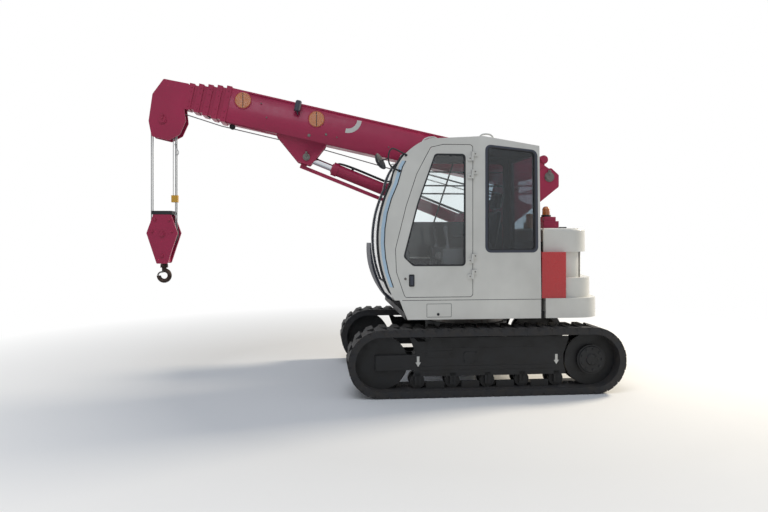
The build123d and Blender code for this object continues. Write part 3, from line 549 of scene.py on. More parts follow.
# %% Door furniture
recess = bmesh.new()
add_plate(recess, rectangle(-812, 1104, -756, 1226), DOOR_SIDE - 2.5, DOOR_SIDE + 1.0, 10.0)
close_piece("handle_recess", recess, SEAL, "door", 1.0)
lock = bmesh.new()
add_bar(lock, (-848, DOOR_SIDE + 1, 1182), (-848, DOOR_SIDE - 5, 1182), 13, 24)
add_bar(lock, (-848, DOOR_SIDE - 4, 1182), (-848, DOOR_SIDE - 7, 1182), 8, 24)
close_piece("door_lock", lock, STEEL, "door", 1.0)
for name, body, x, lift in (("hinge_bolts_door", "door", -192, 24), ("hinge_bolts_cab", "upper", -138, 70)):
    bolts = bmesh.new()
    for z in (1180.0, 1340.0, 2190.0, 2370.0):
        add_bar(bolts, (x, DOOR_SIDE - 12, z + lift), (x, DOOR_SIDE - 19, z + lift), 7, 6)
    close_piece(name, bolts, STEEL, body, 1.0)

# %% [markdown]
# A flat door in the left skirt closes a toolbox. It is a plate 2 mm proud of the skirt with a round
# lock near its lower edge, and a thin dark joint all round it.

# %% Toolbox door
box = bmesh.new()
add_ring(box, rectangle(-633, 795, -380, 931), DOOR_SIDE - 0.6, DOOR_SIDE + 1.0, 4.0, 8.0)
close_piece("toolbox_joint", box, SEAL, "upper")
box = bmesh.new()
add_plate(box, rectangle(-629, 799, -384, 927), DOOR_SIDE - 2.0, DOOR_SIDE + 1.0, 8.0)
close_piece("toolbox_door", box, WHITE, "upper", 1.0)
box = bmesh.new()
add_bar(box, (-516, DOOR_SIDE, 824), (-516, DOOR_SIDE - 5, 824), 14, 24)
add_box(box, (-520, DOOR_SIDE - 8, 812), (-512, DOOR_SIDE - 4, 836))
close_piece("toolbox_lock", box, SEAL, "upper", 1.0)

# %% [markdown]
# A tube bent to the cab's profile guards the windscreen's edge; its dark seal-rubber colour is painted
# shade. Small white tube loops on the roof are handholds and tie points. They could be swept along edges
# of the cab, but a tube of its own through a few points keeps its round section in every bend.

# %% Tubes on the cab
SCREEN_EDGE = [(-900, 1010), (-990, 1010), (-1048, 1106), (-1097, 1253), (-1127, 1401), (-1139, 1549),
               (-1133, 1696), (-1111, 1844), (-1069, 1991), (-1007, 2139), (-957, 2311), (-880, 2430),
               (-842, 2440), (-820, 2400)]
rail = bmesh.new()
add_tube(rail, [(x + 12, -1008.0, z) for x, z in SCREEN_EDGE], 13)
# The guard tube's dark colour is painted shade.
close_piece("windscreen_rail_painted_shade", rail, SEAL, "upper")
rail = bmesh.new()
for y in (-1012.0, -98.0):
    add_tube(rail, [(-694, y, 2500), (-676, y, 2548), (-650, y, 2590), (-585, y, 2610), (-520, y, 2600),
                    (-490, y, 2560)], 9)
    add_tube(rail, [(-90, y, 2590), (-84, y, 2632), (-20, y, 2652), (56, y, 2636), (66, y, 2580)], 9)
    add_tube(rail, [(-860, y + 20, 2330), (-905, y + 20, 2400), (-860, y + 20, 2440),
                    (-810, y + 20, 2410)], 8)
close_piece("roof_handholds", rail, WHITE, "upper")

# %% [markdown]
# The rear-view mirror is a round black shell, held on a thin tube arm that is clamped to the cab's
# front post at its top and bottom. The shell is half a sphere, flattened and turned into place.

# %% Rear-view mirror
mirror = bmesh.new()
add_tube(mirror, [(-905, -1046, 2262), (-1000, -1075, 2290), (-1030, -1092, 2380), (-1010, -1088, 2470),
                  (-960, -1060, 2490), (-840, -1040, 2420)], 8)
add_bar(mirror, (-1030, -1092, 2380), (-1092, -1096, 2356), 7, 12)
for x, z in ((-905, 2262), (-840, 2420)):
    add_bar(mirror, (x - 14, -1052, z), (x + 14, -1032, z), 15, 16)
close_piece("mirror_arm", mirror, SEAL, "upper", 1.0)
shell = bmesh.new()
bmesh.ops.create_uvsphere(shell, u_segments=32, v_segments=16, radius=1.0)
bmesh.ops.bisect_plane(shell, geom=shell.verts[:] + shell.edges[:] + shell.faces[:], plane_co=(0, 0, 0),
                       plane_no=(0, 0, 1), clear_outer=True)
bmesh.ops.holes_fill(shell, edges=[edge for edge in shell.edges if edge.is_boundary], sides=0)
pose = Matrix.Translation((-1096, -1098, 2352)) @ Matrix.Rotation(math.radians(62), 4, "Y") @ Matrix.Rotation(
    math.radians(24), 4, "X") @ Matrix.Diagonal((88, 88, 46, 1))
bmesh.ops.transform(shell, matrix=pose, verts=shell.verts[:])
close_piece("mirror_shell", shell, SEAL, "upper", 2.0)

# %% [markdown]
# The boom carries a few small things on its near side: two round amber reflectors, each a moulded
# lens in a thin rim with a dark bar down its middle, a grey work lamp on a bent bracket, a white
# curved scale plate, left blank here, and a few steel plugs. They lie on the steel, so each is
# placed in the side view on the boom's near face.

# %% Reflectors, lamp and scale on the boom
BOOM_SIDE = 50.0
lens = bmesh.new()
rims = bmesh.new()
bars = bmesh.new()
for x, z in ((-2565.0, 3150.0), (-1733.0, 2950.0)):
    add_bar(rims, (x, BOOM_SIDE + 0.5, z), (x, BOOM_SIDE - 6, z), 99, 48)
    add_bar(lens, (x, BOOM_SIDE - 5, z), (x, BOOM_SIDE - 13, z), 92, 48, 84)
    add_box(bars, (x - 4, BOOM_SIDE - 14.5, z - 84), (x + 4, BOOM_SIDE - 10, z + 84))
close_piece("reflector_rims", rims, RED, "boom", 1.5)
close_piece("reflector_lenses", lens, AMBER, "boom", 2.0)
close_piece("reflector_bars", bars, SEAL, "boom", 0.8)

lamp = bmesh.new()
forward, rise = along_boom(-1944.0, 3092.0)
LAMP_SIDE = -178
for start, end, radius, tip in ((-50, 52, 35, 35), (52, 62, 35, 24), (-50, -62, 39, 33)):
    add_bar(lamp, boom_point(forward, rise + start, LAMP_SIDE), boom_point(forward, rise + end, LAMP_SIDE),
            radius, 24, tip)
add_tube(lamp, [boom_point(forward + ahead, rise + up, y) for ahead, up, y in (
    (-2, -60, -168), (-14, -84, -166), (-18, -92, -150), (-18, -94, -139))], 7)
add_box(lamp, (-1966, 20, 3076), (-1922, 51, 3096))
close_piece("boom_lamp", lamp, DARK, "boom", 1.5)

SCALE_X, SCALE_Z, SCALE_OUT, SCALE_IN = -1372, 2955, 160, 108
scale = bmesh.new()
turns = [math.radians(-6 - 9.6 * step) for step in range(11)]
ring = [(SCALE_X + radius * math.cos(turn), SCALE_Z + radius * math.sin(turn))
        for radius, way in ((SCALE_OUT, turns), (SCALE_IN, turns[::-1])) for turn in way]
add_plate(scale, ring, BOOM_SIDE - 3.0, BOOM_SIDE + 0.5)
close_piece("boom_scale_plate", scale, WHITE, "boom", 0.8, 40.0)

points = bmesh.new()
for x, z, radius, height in ((-1819, 2762, 20, 4), (-1624, 2775, 16, 6), (-1500, 2745, 9, 9),
                             (-2300, 2960, 9, 9), (-2360, 3120, 9, 9), (-900, 2640, 9, 9)):
    add_bar(points, (x, BOOM_SIDE + 0.5, z), (x, BOOM_SIDE - height, z), radius, 20, radius * 0.8)
close_piece("boom_plugs", points, STEEL, "boom", 1.0)

# %% [markdown]
# Each telescoping section slides on wear pads that are bolted through its collar. From outside one
# sees four bolt heads on each side of every collar. The collars stand one step apart, and each is
# smaller than the last by the same amount, so one loop places the bolts of all five.

# %% Wear pad bolts
FIRST_COLLAR, COLLAR_STEP = 3880.0, 105.0
COLLAR_HALF_WIDTH, COLLAR_HALF_HEIGHT, SECTION_STEP = 152.0, 195.0, 14.0
BOLTS_BEHIND = 29.0
for index, body in enumerate(("boom", "section_2", "section_3", "section_4", "section_5")):
    heads = bmesh.new()
    forward = FIRST_COLLAR + index * COLLAR_STEP - BOLTS_BEHIND
    half = COLLAR_HALF_WIDTH - index * SECTION_STEP
    reach = COLLAR_HALF_HEIGHT - index * SECTION_STEP
    for side in (-1, 1):
        for share in (-0.78, -0.42, 0.42, 0.78):
            start = boom_point(forward, reach * share, side * (half - 1))
            end = boom_point(forward, reach * share, side * (half + 7))
            add_bar(heads, start, end, 8.5, 6)
    close_piece(f"wear_pad_bolts_{index + 1}", heads, RED, body, 0.8)

# %% [markdown]
# A pin in a lift cylinder or a boom pivot is kept by a flat keeper plate, let into a slot of the pin
# and held by two bolts. In the middle of the pin's end sits a grease nipple. All the pins look
# alike but for their size, so one function draws a pin's end and a table says where the pins are.

# %% Pins with keeper plates
CYLINDER_FOOT_X, CYLINDER_FOOT_Z = 200.0, 1700.0


def keeper(shape, x, z, y, out, radius):
    """The end of a pin on one side: a collar, its keeper plate, two bolts and the nipple."""
    add_bar(shape, (x, y, z), (x, y + out * 10, z), radius + 14, 36)
    add_bar(shape, (x, y + out * 8, z), (x, y + out * 17, z), radius, 36)
    low, high = side_span(out, 9, 20, y)
    add_box(shape, (x - radius * 0.42, low, z + radius * 0.35), (x + radius * 0.42, high, z + radius + 34))
    for lift in (radius * 0.62, radius + 20):
        add_bar(shape, (x, y + out * 19, z + lift), (x, y + out * 29, z + lift), 8, 6)
    add_bar(shape, (x, y + out * 16, z), (x, y + out * 24, z), 5, 12, 3)


PINS = (    # piece, finish, body, slot, then x, z, half width and radius of each pin
    ("turret_pins", STEEL, "upper", "roller_steel", ((PIVOT_X, PIVOT_Z, 171.0, 45),
                                                     (CYLINDER_FOOT_X, CYLINDER_FOOT_Z, 171.0, 35))),
    ("bracket_pins", STEEL, "boom", "roller_steel", ((*boom_point(*ROD_EYE)[::2], 86.0, 28),)),
    ("head_pins", RED, "section_5", "red_paint", ((*boom_point(*HEAD_SHEAVE)[::2], 92.0, 30),)),
)
for name, material, body, slot, places in PINS:
    pins = bmesh.new()
    for out in (-1, 1):
        for x, z, half, radius in places:
            keeper(pins, x, z, BOOM_Y + out * half, out, radius)
    close_piece(name, pins, material, body, 1.2)

# %% [markdown]
# The boom's rear end is open behind the cab: two ear plates run back from the tube to the pivot.
# In the frame the tube itself runs on to the pivot, so a copy of it is cut off square to the boom and
# capped, and the ears are added as plates. The copy is merged first, because the frame's mesh is loose.

# %% Boom base with its ears
TAIL_CUT = 205.0
base = bmesh.new()
base.from_mesh(NODES["boom_base"].data)
bmesh.ops.scale(base, vec=(1 / MM, 1 / MM, 1 / MM), verts=base.verts[:])
bmesh.ops.remove_doubles(base, verts=base.verts[:], dist=0.01)
along = Vector(boom_point(1.0, 0.0)) - Vector(boom_point(0.0, 0.0))
cut = bmesh.ops.bisect_plane(base, geom=base.verts[:] + base.edges[:] + base.faces[:], dist=0.001,
                             plane_co=boom_point(TAIL_CUT, 0.0), plane_no=along, clear_inner=True)
loop = [item for item in cut["geom_cut"] if isinstance(item, bmesh.types.BMEdge)]
bmesh.ops.triangle_fill(base, use_beauty=True, edges=loop)
EARS = boom_outline((TAIL_CUT + 40, -180), (40, -104), (-60, -74), (-92, -30), (-92, 22), (-60, 60),
                    (20, 106), (TAIL_CUT - 30, 168), (TAIL_CUT + 40, 190))
RIB = boom_outline((30, 100), (TAIL_CUT + 30, 100), (TAIL_CUT + 30, 190), (75, 250), (40, 230))
for side in (-1, 1):
    add_plate(base, EARS, *side_span(side, 120.0, 139.5, BOOM_Y), 16.0)
for side in (-1, 1):
    add_bar(base, boom_point(0, 0, side * 118), boom_point(0, 0, side * 145.5), 80, 40)
add_bar(base, boom_point(0, 0, -120), boom_point(0, 0, 120), 62, 40)
add_bar(base, boom_point(75, 206, -70), boom_point(75, 206, 60), 52, 40)
add_bar(base, boom_point(75, 206, -84), boom_point(75, 206, -69), 40, 40)
add_plate(base, RIB, BOOM_Y - 10.0, BOOM_Y + 10.0, 8.0)
tail = close_piece("boom_base_steel", base, RED, "boom", 0.0, 30.0)
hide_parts("boom_base")

# %% [markdown]
# The hook block has a black cap that keeps the rope in its sheaves, hexagon nuts on its pins, and a
# hook with a sprung safety latch. The latch closes the hook's mouth, so from the side the hook looks
# like a ring. Below the boom's head, two clips on the rope hold a small loop of its spare end.

# %% Hook block fittings
BLOCK_X = boom_point(*HEAD_SHEAVE)[0]
CLIP_X = BLOCK_X + 134
cap = bmesh.new()
add_plate(cap, [(BLOCK_X - 118, 1851), (BLOCK_X + 118, 1851), (BLOCK_X + 108, 1892), (BLOCK_X - 118, 1892)],
          BOOM_Y - 118, BOOM_Y + 118, 6.0)
close_piece("block_cap", cap, SEAL, "hoist_fall", 2.0)
nuts = bmesh.new()
for out in (-1, 1):
    y = BOOM_Y + out * 114.0
    for ahead, z, radius in ((0, 1630.0, 26), (-78, 1790.0, 13), (78, 1790.0, 13), (0, 1385.0, 15),
                             (-108, 1660.0, 11), (108, 1660.0, 11)):
        x = BLOCK_X + ahead
        add_bar(nuts, (x, y, z), (x, y + out * 9, z), radius * 1.35, 28)
        add_bar(nuts, (x, y + out * 8, z), (x, y + out * 20, z), radius, 6)
close_piece("block_nuts", nuts, RED, "hoist_fall", 1.2)
latch = bmesh.new()
add_tube(latch, [(BLOCK_X + ahead, BOOM_Y, z) for ahead, z in ((-6, 1199), (-44, 1196), (-66, 1176),
                                                              (-72, 1158))], 9)
add_bar(latch, (BLOCK_X - 8, BOOM_Y - 30, 1203), (BLOCK_X - 8, BOOM_Y + 30, 1203), 8, 12)
close_piece("hook_latch", latch, STEEL, "hook", 0.6)
collar = bmesh.new()
add_bar(collar, (BLOCK_X, BOOM_Y, 1246), (BLOCK_X, BOOM_Y, 1286), 46, 6, 44)
add_bar(collar, (BLOCK_X, BOOM_Y, 1284), (BLOCK_X, BOOM_Y, 1294), 36, 32)
close_piece("hook_nut", collar, FORGED, "hook", 2.0)
clip = bmesh.new()
for lift in (0, 60):
    add_bar(clip, (CLIP_X, 136, 2650 + lift), (CLIP_X, 168, 2650 + lift), 11, 6)
    add_box(clip, (CLIP_X - 10, 142, 2642 + lift), (CLIP_X + 12, 164, 2658 + lift))
add_tube(clip, [(BLOCK_X + ahead, y, z) for ahead, y, z in (
    (137, 148, 2700), (137, 140, 2640), (150, 136, 2600), (176, 134, 2560), (160, 134, 2524),
    (132, 134, 2540), (138, 138, 2590), (140, 142, 2640))], 4)
close_piece("rope_clips", clip, WIRE, "hoist_fall", 0.5)

# %% [markdown]
# Hydraulic hose runs to the lift cylinder: black rubber over steel braid, 22 mm across, bent in easy
# curves between its clamps. The barrel has a gland nut where the rod comes out. The cylinder leans,
# so places on it are given along its axis from its foot, upwards from it and across it. The rod's
# guard plate is red, and the weight on the rope hangs from wire, so both nodes get a second finish.

# %% Lift cylinder fittings
foot = Vector((CYLINDER_FOOT_X, BOOM_Y, CYLINDER_FOOT_Z))
eye_place = Vector(boom_point(*ROD_EYE))
axis = (eye_place - foot).normalized()
across = Vector((0, 1, 0))
above = across.cross(axis).normalized()
if above.z < 0:
    above = -above
reach = (eye_place - foot).length
GUARD_BELOW = -61.0    # the guard's faces lie further below the axis than this
WEIGHT_TOP = 2.10
gland = bmesh.new()
end = foot + axis * (reach - 330)
add_bar(gland, end - axis * 64, end + axis * 2, 79, 40)
add_bar(gland, end - axis * 4, end + axis * 16, 60, 40, 52)
add_bar(gland, foot + axis * 96, foot + axis * 150, 79, 40)
close_piece("cylinder_gland", gland, RED, "lift_barrel", 2.5)
hose = bmesh.new()
for offset in (-30, 30):
    line = [foot + axis * (reach - 372) + above * 76]
    line += [foot + axis * far + above * up + across * offset for far, up in (
        (reach - 420, 98), (1200, 92), (500, 92), (230, 96), (150, 88))]
    add_tube(hose, line, 11)
    for share in (0.45, 0.75):
        spot = foot + axis * reach * share + above * 84 + across * offset
        add_bar(hose, spot - axis * 14, spot + axis * 14, 15, 16)
close_piece("cylinder_hoses", hose, SEAL, "lift_barrel", 0.5)
second_finish("lift_rod", RED,
              lambda polygon: (Vector(polygon.center) / MM - foot).dot(above) < GUARD_BELOW)
second_finish("overhoist_weight", WIRE, lambda polygon: polygon.center.z > WEIGHT_TOP)

# %% [markdown]
# The hood carries a red steel box with a step in it and an amber lamp on top, which shows behind the
# cab. The lens is a ribbed dome of polycarbonate on a black base.

# %% Lamp box on the hood
HOOD_TOP = 1690
LAMP_X, LAMP_Y = 862, -300
box = bmesh.new()
add_box(box, (803, -390, HOOD_TOP + 1), (979, -210, 1775))
add_box(box, (815, -380, 1774), (948, -220, 1823))
add_box(box, (798, -394, HOOD_TOP + 1), (984, -206, HOOD_TOP + 8))
close_piece("lamp_box", box, RED, "upper", 5.0)
foot_ring = bmesh.new()
add_bar(foot_ring, (LAMP_X, LAMP_Y, 1822), (LAMP_X, LAMP_Y, 1846), 54, 40)
close_piece("lamp_foot", foot_ring, SEAL, "upper", 2.0)
dome = bmesh.new()
add_bar(dome, (LAMP_X, LAMP_Y, 1844), (LAMP_X, LAMP_Y, 1918), 43, 40, 40)
bmesh.ops.create_uvsphere(dome, u_segments=40, v_segments=16, radius=40,
                          matrix=Matrix.Translation((LAMP_X, LAMP_Y, 1912)) @ Matrix.Diagonal((1, 1, 0.8, 1)))
for lift in range(1850, 1920, 14):
    add_bar(dome, (LAMP_X, LAMP_Y, lift), (LAMP_X, LAMP_Y, lift + 6), 45, 40)
close_piece("lamp_dome", dome, AMBER, "upper", 0.0)

# %% [markdown]
# On the undercarriage the travel motor's cover is held by a ring of bolts, and pale arrows on the
# track frames show where lashing chains go. They are bare arrows, with no words.

# %% Bolts and arrows on the track frames
AXLE_X, AXLE_Z = 1085.0, 340.0
MOTOR_FACE = 1035.0
for name, side in (("left", -1), ("right", 1)):
    wheel = bmesh.new()
    face = side * MOTOR_FACE
    add_bar(wheel, (AXLE_X, face - side, AXLE_Z), (AXLE_X, face + side * 12, AXLE_Z), 138, 48, 132)
    add_bar(wheel, (AXLE_X, face + side * 10, AXLE_Z), (AXLE_X, face + side * 22, AXLE_Z), 62, 40, 54)
    for index in range(9):
        turn = math.radians(40 * index)
        x, z = AXLE_X + 108 * math.cos(turn), AXLE_Z + 108 * math.sin(turn)
        add_bar(wheel, (x, face + side * 11, z), (x, face + side * 22, z), 12, 6)
    for x, z in ((1085, 302), (1048, 362), (1122, 362)):
        add_bar(wheel, (x, face + side * 21, z), (x, face + side * 28, z), 9, 6)
    close_piece(f"motor_cover_{name}", wheel, BLACK, "undercarriage", 2.0)
ARROW = [(-14, 50), (14, 50), (14, -10), (30, -10), (0, -54), (-30, -10), (-14, -10)]
arrows = bmesh.new()
for x, z in ((-716.0, 350.0), (716.0, 350.0)):
    for side in (-1, 1):
        add_plate(arrows, [(x + dx * 0.9, z + dz) for dx, dz in ARROW], *side_span(side, 1028.0, 1025.0))
close_piece("lashing_arrows", arrows, WHITE, "undercarriage", 0.0, 30.0)

# %% [markdown]
# The rubber track has deep bars that run slantwise across it, and their ends show on its edge. The
# frame's belt has two rows of plain lugs. Each lug of the outer row is joined here to one of the
# inner row by a slanted bar of rubber, so the tread reads as diagonal. A cube is mapped onto the
# loop: its length runs along the track, its height is the lug's.

# %% Diagonal tread bars
BELT_OUT, LUG_TIP = 310.0, 339.0
STRAIGHT = 2 * AXLE_X
LOOP = 2 * STRAIGHT + 2 * math.pi * BELT_OUT
LUGS = 48
PITCH = LOOP / LUGS
TRACK_MIDDLE = 900.0


def on_loop(distance, radius):
    """The point of the side view at a distance along the track's loop and a radius from its axles."""
    half_turn = math.pi * BELT_OUT
    distance %= LOOP
    if distance < STRAIGHT:
        return AXLE_X - distance, AXLE_Z + radius
    distance -= STRAIGHT
    if distance < half_turn:
        angle = math.pi / 2 + distance / BELT_OUT
        return -AXLE_X + radius * math.cos(angle), AXLE_Z + radius * math.sin(angle)
    distance -= half_turn
    if distance < STRAIGHT:
        return -AXLE_X + distance, AXLE_Z - radius
    angle = -math.pi / 2 + (distance - STRAIGHT) / BELT_OUT
    return AXLE_X + radius * math.cos(angle), AXLE_Z + radius * math.sin(angle)


def add_lug(shape, starts, ends, places, radii):
    """One rubber bar: starts and ends are its span along the loop at each of two places across."""
    for vert in bmesh.ops.create_cube(shape, size=2.0)["verts"]:
        row = 0 if vert.co.y < 0 else 1
        distance = starts[row] if vert.co.x < 0 else ends[row]
        x, z = on_loop(distance, radii[0 if vert.co.z < 0 else 1])
        vert.co = (x, places[row], z)


def track_places(side, *offsets):
    """Places across a track, measured outwards from its middle."""
    return [side * (TRACK_MIDDLE + offset) for offset in offsets]


for name, side in (("left", -1), ("right", 1)):
    tread = bmesh.new()
    on_belt, on_edge = (BELT_OUT - 2, LUG_TIP), (BELT_OUT - 40, LUG_TIP - 6)
    outwards, inwards = track_places(side, 222.0, -8.0), track_places(side, 8.0, -222.0)
    for index in range(LUGS):
        outer = (index + 0.31) * PITCH
        near = outer + 0.5 * PITCH
        add_lug(tread, (outer - 26, near - 22), (outer + 26, near + 22), outwards, on_belt)
        add_lug(tread, (near - 22, outer - 26), (near + 22, outer + 26), inwards, on_belt)
        for edge in (1, -1):
            add_lug(tread, (outer - 42, outer - 20), (outer + 10, outer + 22),
                    track_places(side, edge * 226.5, edge * 200.0), on_edge)
        add_lug(tread, (outer - 16, outer - 16), (outer + 16, outer + 16),
                (side * TRACK_MIDDLE - 26, side * TRACK_MIDDLE + 26), (BELT_OUT - 58, BELT_OUT - 40))
    close_piece(f"tread_bars_{name}", tread, RUBBER, "undercarriage", 0.0, 30.0)

# %% [markdown]
# The track frame is a welded box. Its outer side has raised panels with rounded corners, held by
# bolts, and below them each roller's axle ends in a round cap with a bolt in it.

# %% Panels on the track frames
ROLLER_PITCH, ROLLER_Z = 360.0, 147.3
plates = bmesh.new()
heads = bmesh.new()
for side in (-1, 1):
    low, high = side_span(side, 1024.5, 1031.0)
    for corners, rounding in ((rectangle(-700, 262, 700, 298), 14.0), (rectangle(-640, 392, -360, 452), 16.0),
                              (rectangle(-250, 330, -110, 440), 16.0)):
        add_plate(plates, corners, low, high, rounding)
    for x, z in ((-235, 345), (-125, 345), (-235, 425), (-125, 425), (-622, 422), (-378, 422)):
        add_bar(heads, (x, side * 1030.5, z), (x, side * 1040.0, z), 9, 6)
    for index in range(5):
        x = (index - 2) * ROLLER_PITCH
        add_bar(heads, (x, side * 1000, ROLLER_Z), (x, side * 1012, ROLLER_Z), 26, 24, 22)
        add_bar(heads, (x, side * 1011, ROLLER_Z), (x, side * 1019, ROLLER_Z), 10, 6)
close_piece("frame_panels", plates, BLACK, "undercarriage", 1.5)
close_piece("frame_bolts", heads, BLACK, "undercarriage", 1.0)

# %% [markdown]
# The driver's seat is foam under woven cloth. A cushion is thickest in its middle, pulls in between
# its corners, and has channels where its cover is sewn down. Each is a finely cut cube whose points
# are moved by a smooth crown, then rounded by a Subdivision Surface.

# %% Seat cushions
def add_cushion(shape, low, high, crown, lean=0.0):
    """A crowned pad between two corners, leaning back by a share of its height."""
    low, high = Vector(low), Vector(high)
    middle, half = (low + high) / 2, (high - low) / 2
    pad = bmesh.new()
    bmesh.ops.create_cube(pad, size=2.0)
    bmesh.ops.subdivide_edges(pad, edges=pad.edges[:], cuts=9, use_grid_fill=True)
    thin = min(range(3), key=lambda index: half[index])
    wide = [index for index in range(3) if index != thin]
    for vert in pad.verts:
        u, v, t = vert.co[wide[0]], vert.co[wide[1]], vert.co[thin]
        pull = 1.0 - 0.045 * (1 - v * v) * abs(u) ** 3
        pull_other = 1.0 - 0.045 * (1 - u * u) * abs(v) ** 3
        edge = (1 - abs(u) ** 5) * (1 - abs(v) ** 5)
        thick = 0.45 + 0.55 * edge ** 0.5 + crown * (1 - u * u) * (1 - v * v)
        channel = 0.10 * math.exp(-((abs(u) - 0.45) / 0.05) ** 2) + 0.10 * math.exp(-(v / 0.05) ** 2)
        vert.co[wide[0]] = u * pull
        vert.co[wide[1]] = v * pull_other
        vert.co[thin] = t * (thick - channel)
        vert.co = Vector([vert.co[index] * half[index] for index in range(3)])
        vert.co.x += vert.co.z * lean
        vert.co += middle
    merge_into(shape, pad)


SEAT_PARTS = {
    "seat_cushion": ((-425, -790, 1338), (110, -320, 1440), 0.28, 0.0, 0.6),
    "seat_back": ((108, -780, 1452), (196, -330, 1872), 0.30, 0.18, 0.6),
    "seat_headrest": ((176, -690, 1900), (256, -420, 2060), 0.30, 0.16, 0.7),
}
for name, (low, high, crown, lean, fill) in SEAT_PARTS.items():
    pad = bmesh.new()
    add_cushion(pad, low, high, crown, lean)
    cushion = close_piece(name, pad, CLOTH, "upper", 0.0, 80.0)
    smooth = cushion.modifiers.new("smooth", "SUBSURF")
    smooth.levels = smooth.render_levels = 1
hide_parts("seat")
posts = bmesh.new()
for y in (-600, -510):
    add_tube(posts, [(176, y, 1840), (190, y, 1900), (206, y, 1950)], 7)
add_box(posts, (-330, -755, 1328), (110, -355, 1342))
for inner, outer in ((-800, -812), (-310, -298)):
    add_tube(posts, [(96, inner, 1440), (60, outer, 1580), (-60, outer, 1610), (-210, outer, 1606)], 20)
close_piece("seat_frame", posts, TRIM, "upper", 1.0)

# %% [markdown]
# Inside the cab one sees dark levers and a screen on the front post, and over the right window guard
# bars, which keep rope and load out of the cab. A dark panel closes that window's lower part. All
# of it is seen through glass, so plain bars, boxes and one plate are enough.

# %% Cab interior and guard bars
levers = bmesh.new()
for y in (-885.0, -225.0):
    add_bar(levers, (-402, y, 1628), (-408, y, 1700), 18, 20, 22)
    add_bar(levers, (-408, y, 1700), (-410, y, 1716), 22, 20, 12)
    add_bar(levers, (-380, y, 1478), (-386, y, 1520), 34, 24, 20)
for y in (-620.0, -560.0, -500.0, -440.0):
    add_bar(levers, (-700, y, 1016), (-760, y, 1420), 8, 12)
    add_bar(levers, (-760, y, 1412), (-764, y, 1450), 17, 16, 12)
add_box(levers, (-900, -330, 1560), (-868, -130, 1720))
add_bar(levers, (-880, -200, 1500), (-884, -200, 1570), 12, 16)
close_piece("levers_and_screen", levers, TRIM, "upper", 3.0)
guard = bmesh.new()
GUARD_Y = -42.0
for start, end in (((-640, 2455), (440, 2455)), ((-655, 2346), (440, 2346)), ((-700, 2188), (440, 2188)),
                   ((-724, 2095), (440, 2095)), ((-800, 1760), (440, 1760)), ((-385, 1760), (-156, 2455)),
                   ((-650, 2370), (440, 2085)), ((-800, 1760), (-640, 2455)), ((440, 1760), (440, 2455))):
    add_bar(guard, (start[0], GUARD_Y, start[1]), (end[0], GUARD_Y, end[1]), 9, 12)
for x, z in ((-800, 1760), (440, 1760), (-640, 2455), (440, 2455)):
    add_bar(guard, (x, -61, z), (x, GUARD_Y + 6, z), 15, 16)
close_piece("window_guard_bars", guard, SEAL, "upper", 0.0)
lining = bmesh.new()
add_plate(lining, [(-845, 1368), (415, 1368), (415, 1762), (-752, 1762)], -74.5, -66.0, 50.0)
close_piece("right_window_lower_panel", lining, TRIM, "upper", 1.0)

# %% [markdown]
# Between belt and wheels the track is nearly closed: the frame's long side plate fills the loop up to
# the guide teeth of the belt, and daylight shows only through a few slots over the rollers. Each side
# gets that plate, and the row of guide teeth on the belt's lower run.

# %% Side plates and guide teeth
SIDE_PLATE = [(-770, 196), (820, 196), (792, 300), (792, 400), (850, 560), (836, 586), (-560, 586),
              (-590, 548), (-720, 548), (-752, 586), (-800, 586), (-742, 430), (-742, 300)]
plates = bmesh.new()
teeth = bmesh.new()
for side in (-1, 1):
    low, high = side_span(side, 1012.0, 1022.0)
    add_plate(plates, SIDE_PLATE, low, high, 6.0)
    for index in range(4):
        x = (index - 1.5) * ROLLER_PITCH
        add_plate(plates, rectangle(x - 92, 70, x + 92, 146), low, high, 10.0)
        add_box(plates, (x + 168, low, 130), (x + 192, high, 200))
    add_box(plates, (-732, low, 120), (-700, high, 200))
    low, high = side_span(side, 884.0, 916.0)
    for index in range(33):
        x = (index - 16) * PITCH / 2
        add_box(teeth, (x - 20, low, 66), (x + 20, high, 92))
close_piece("track_side_plates", plates, BLACK, "undercarriage", 2.0)
close_piece("belt_guide_teeth", teeth, RUBBER, "undercarriage", 3.0)

# %% [markdown]
# The windscreen is one bent pane that wraps a little round the cab's front edge. From the side its
# edge is a narrow pale blue band of paint, a painted reflection of the sky, between a white strip in
# front and a dark rubber strip behind. All three follow the cab's front profile at their own distance from
# it.

# %% Edge of the windscreen
PROFILE = [(x + 4, z) for x, z in SCREEN_EDGE[2:11]] + [(-920, 2371)]


def inset_line(distance):
    """The cab's front profile moved back into the cab by a distance."""
    return [(x + distance, z - 0.12 * distance) for x, z in PROFILE]


CAB_RIGHT = -60.0
for name, near, far, material, proud in (("windscreen_edge_painted_reflection", 37, 72, PAINTED_SKY_REFLECTION, 1.5),
                                         ("windscreen_seal_front", 24, 38, WHITE, 2.5),
                                         ("windscreen_seal_back", 71, 81, SEAL, 2.5)):
    strip = bmesh.new()
    edge = inset_line(near) + inset_line(far)[::-1]
    for low, high in ((DOOR_SIDE - proud, DOOR_SIDE + 1.0), (CAB_RIGHT - 1.0, CAB_RIGHT + proud)):
        add_plate(strip, edge, low, high)
    close_piece(name, strip, material, "upper", 0.0, 30.0)

# %% [markdown]
# Panels meet in narrow joints, which show as fine dark lines: between the cab and the deck skirt, and
# before the counterweight. The rear window is bonded to the cab, with a dark printed border.

# %% Panel joints and window border
joints = bmesh.new()
for side in (-1, 1):
    low, high = side_span(side, 1049.0, 1050.8)
    add_box(joints, (-880, low, 964), (552, high, 969))
    add_box(joints, (548, low, 774), (553, high, 968))
close_piece("panel_joints", joints, SEAL, "upper")
border = bmesh.new()
add_ring(border, [(-34, 1442), (519, 1442), (509, 2484), (-34, 2540)], DOOR_SIDE - 1.6, DOOR_SIDE + 1.0,
         30.0, 60.0)
close_piece("rear_window_border", border, DARK, "upper", 0.8)

# %% [markdown]
# The near rear pane is tinted darker than the door's, so that one sees the turret only dimly through
# it. It belongs to the same CAD node as the other panes and gets its own material slot.

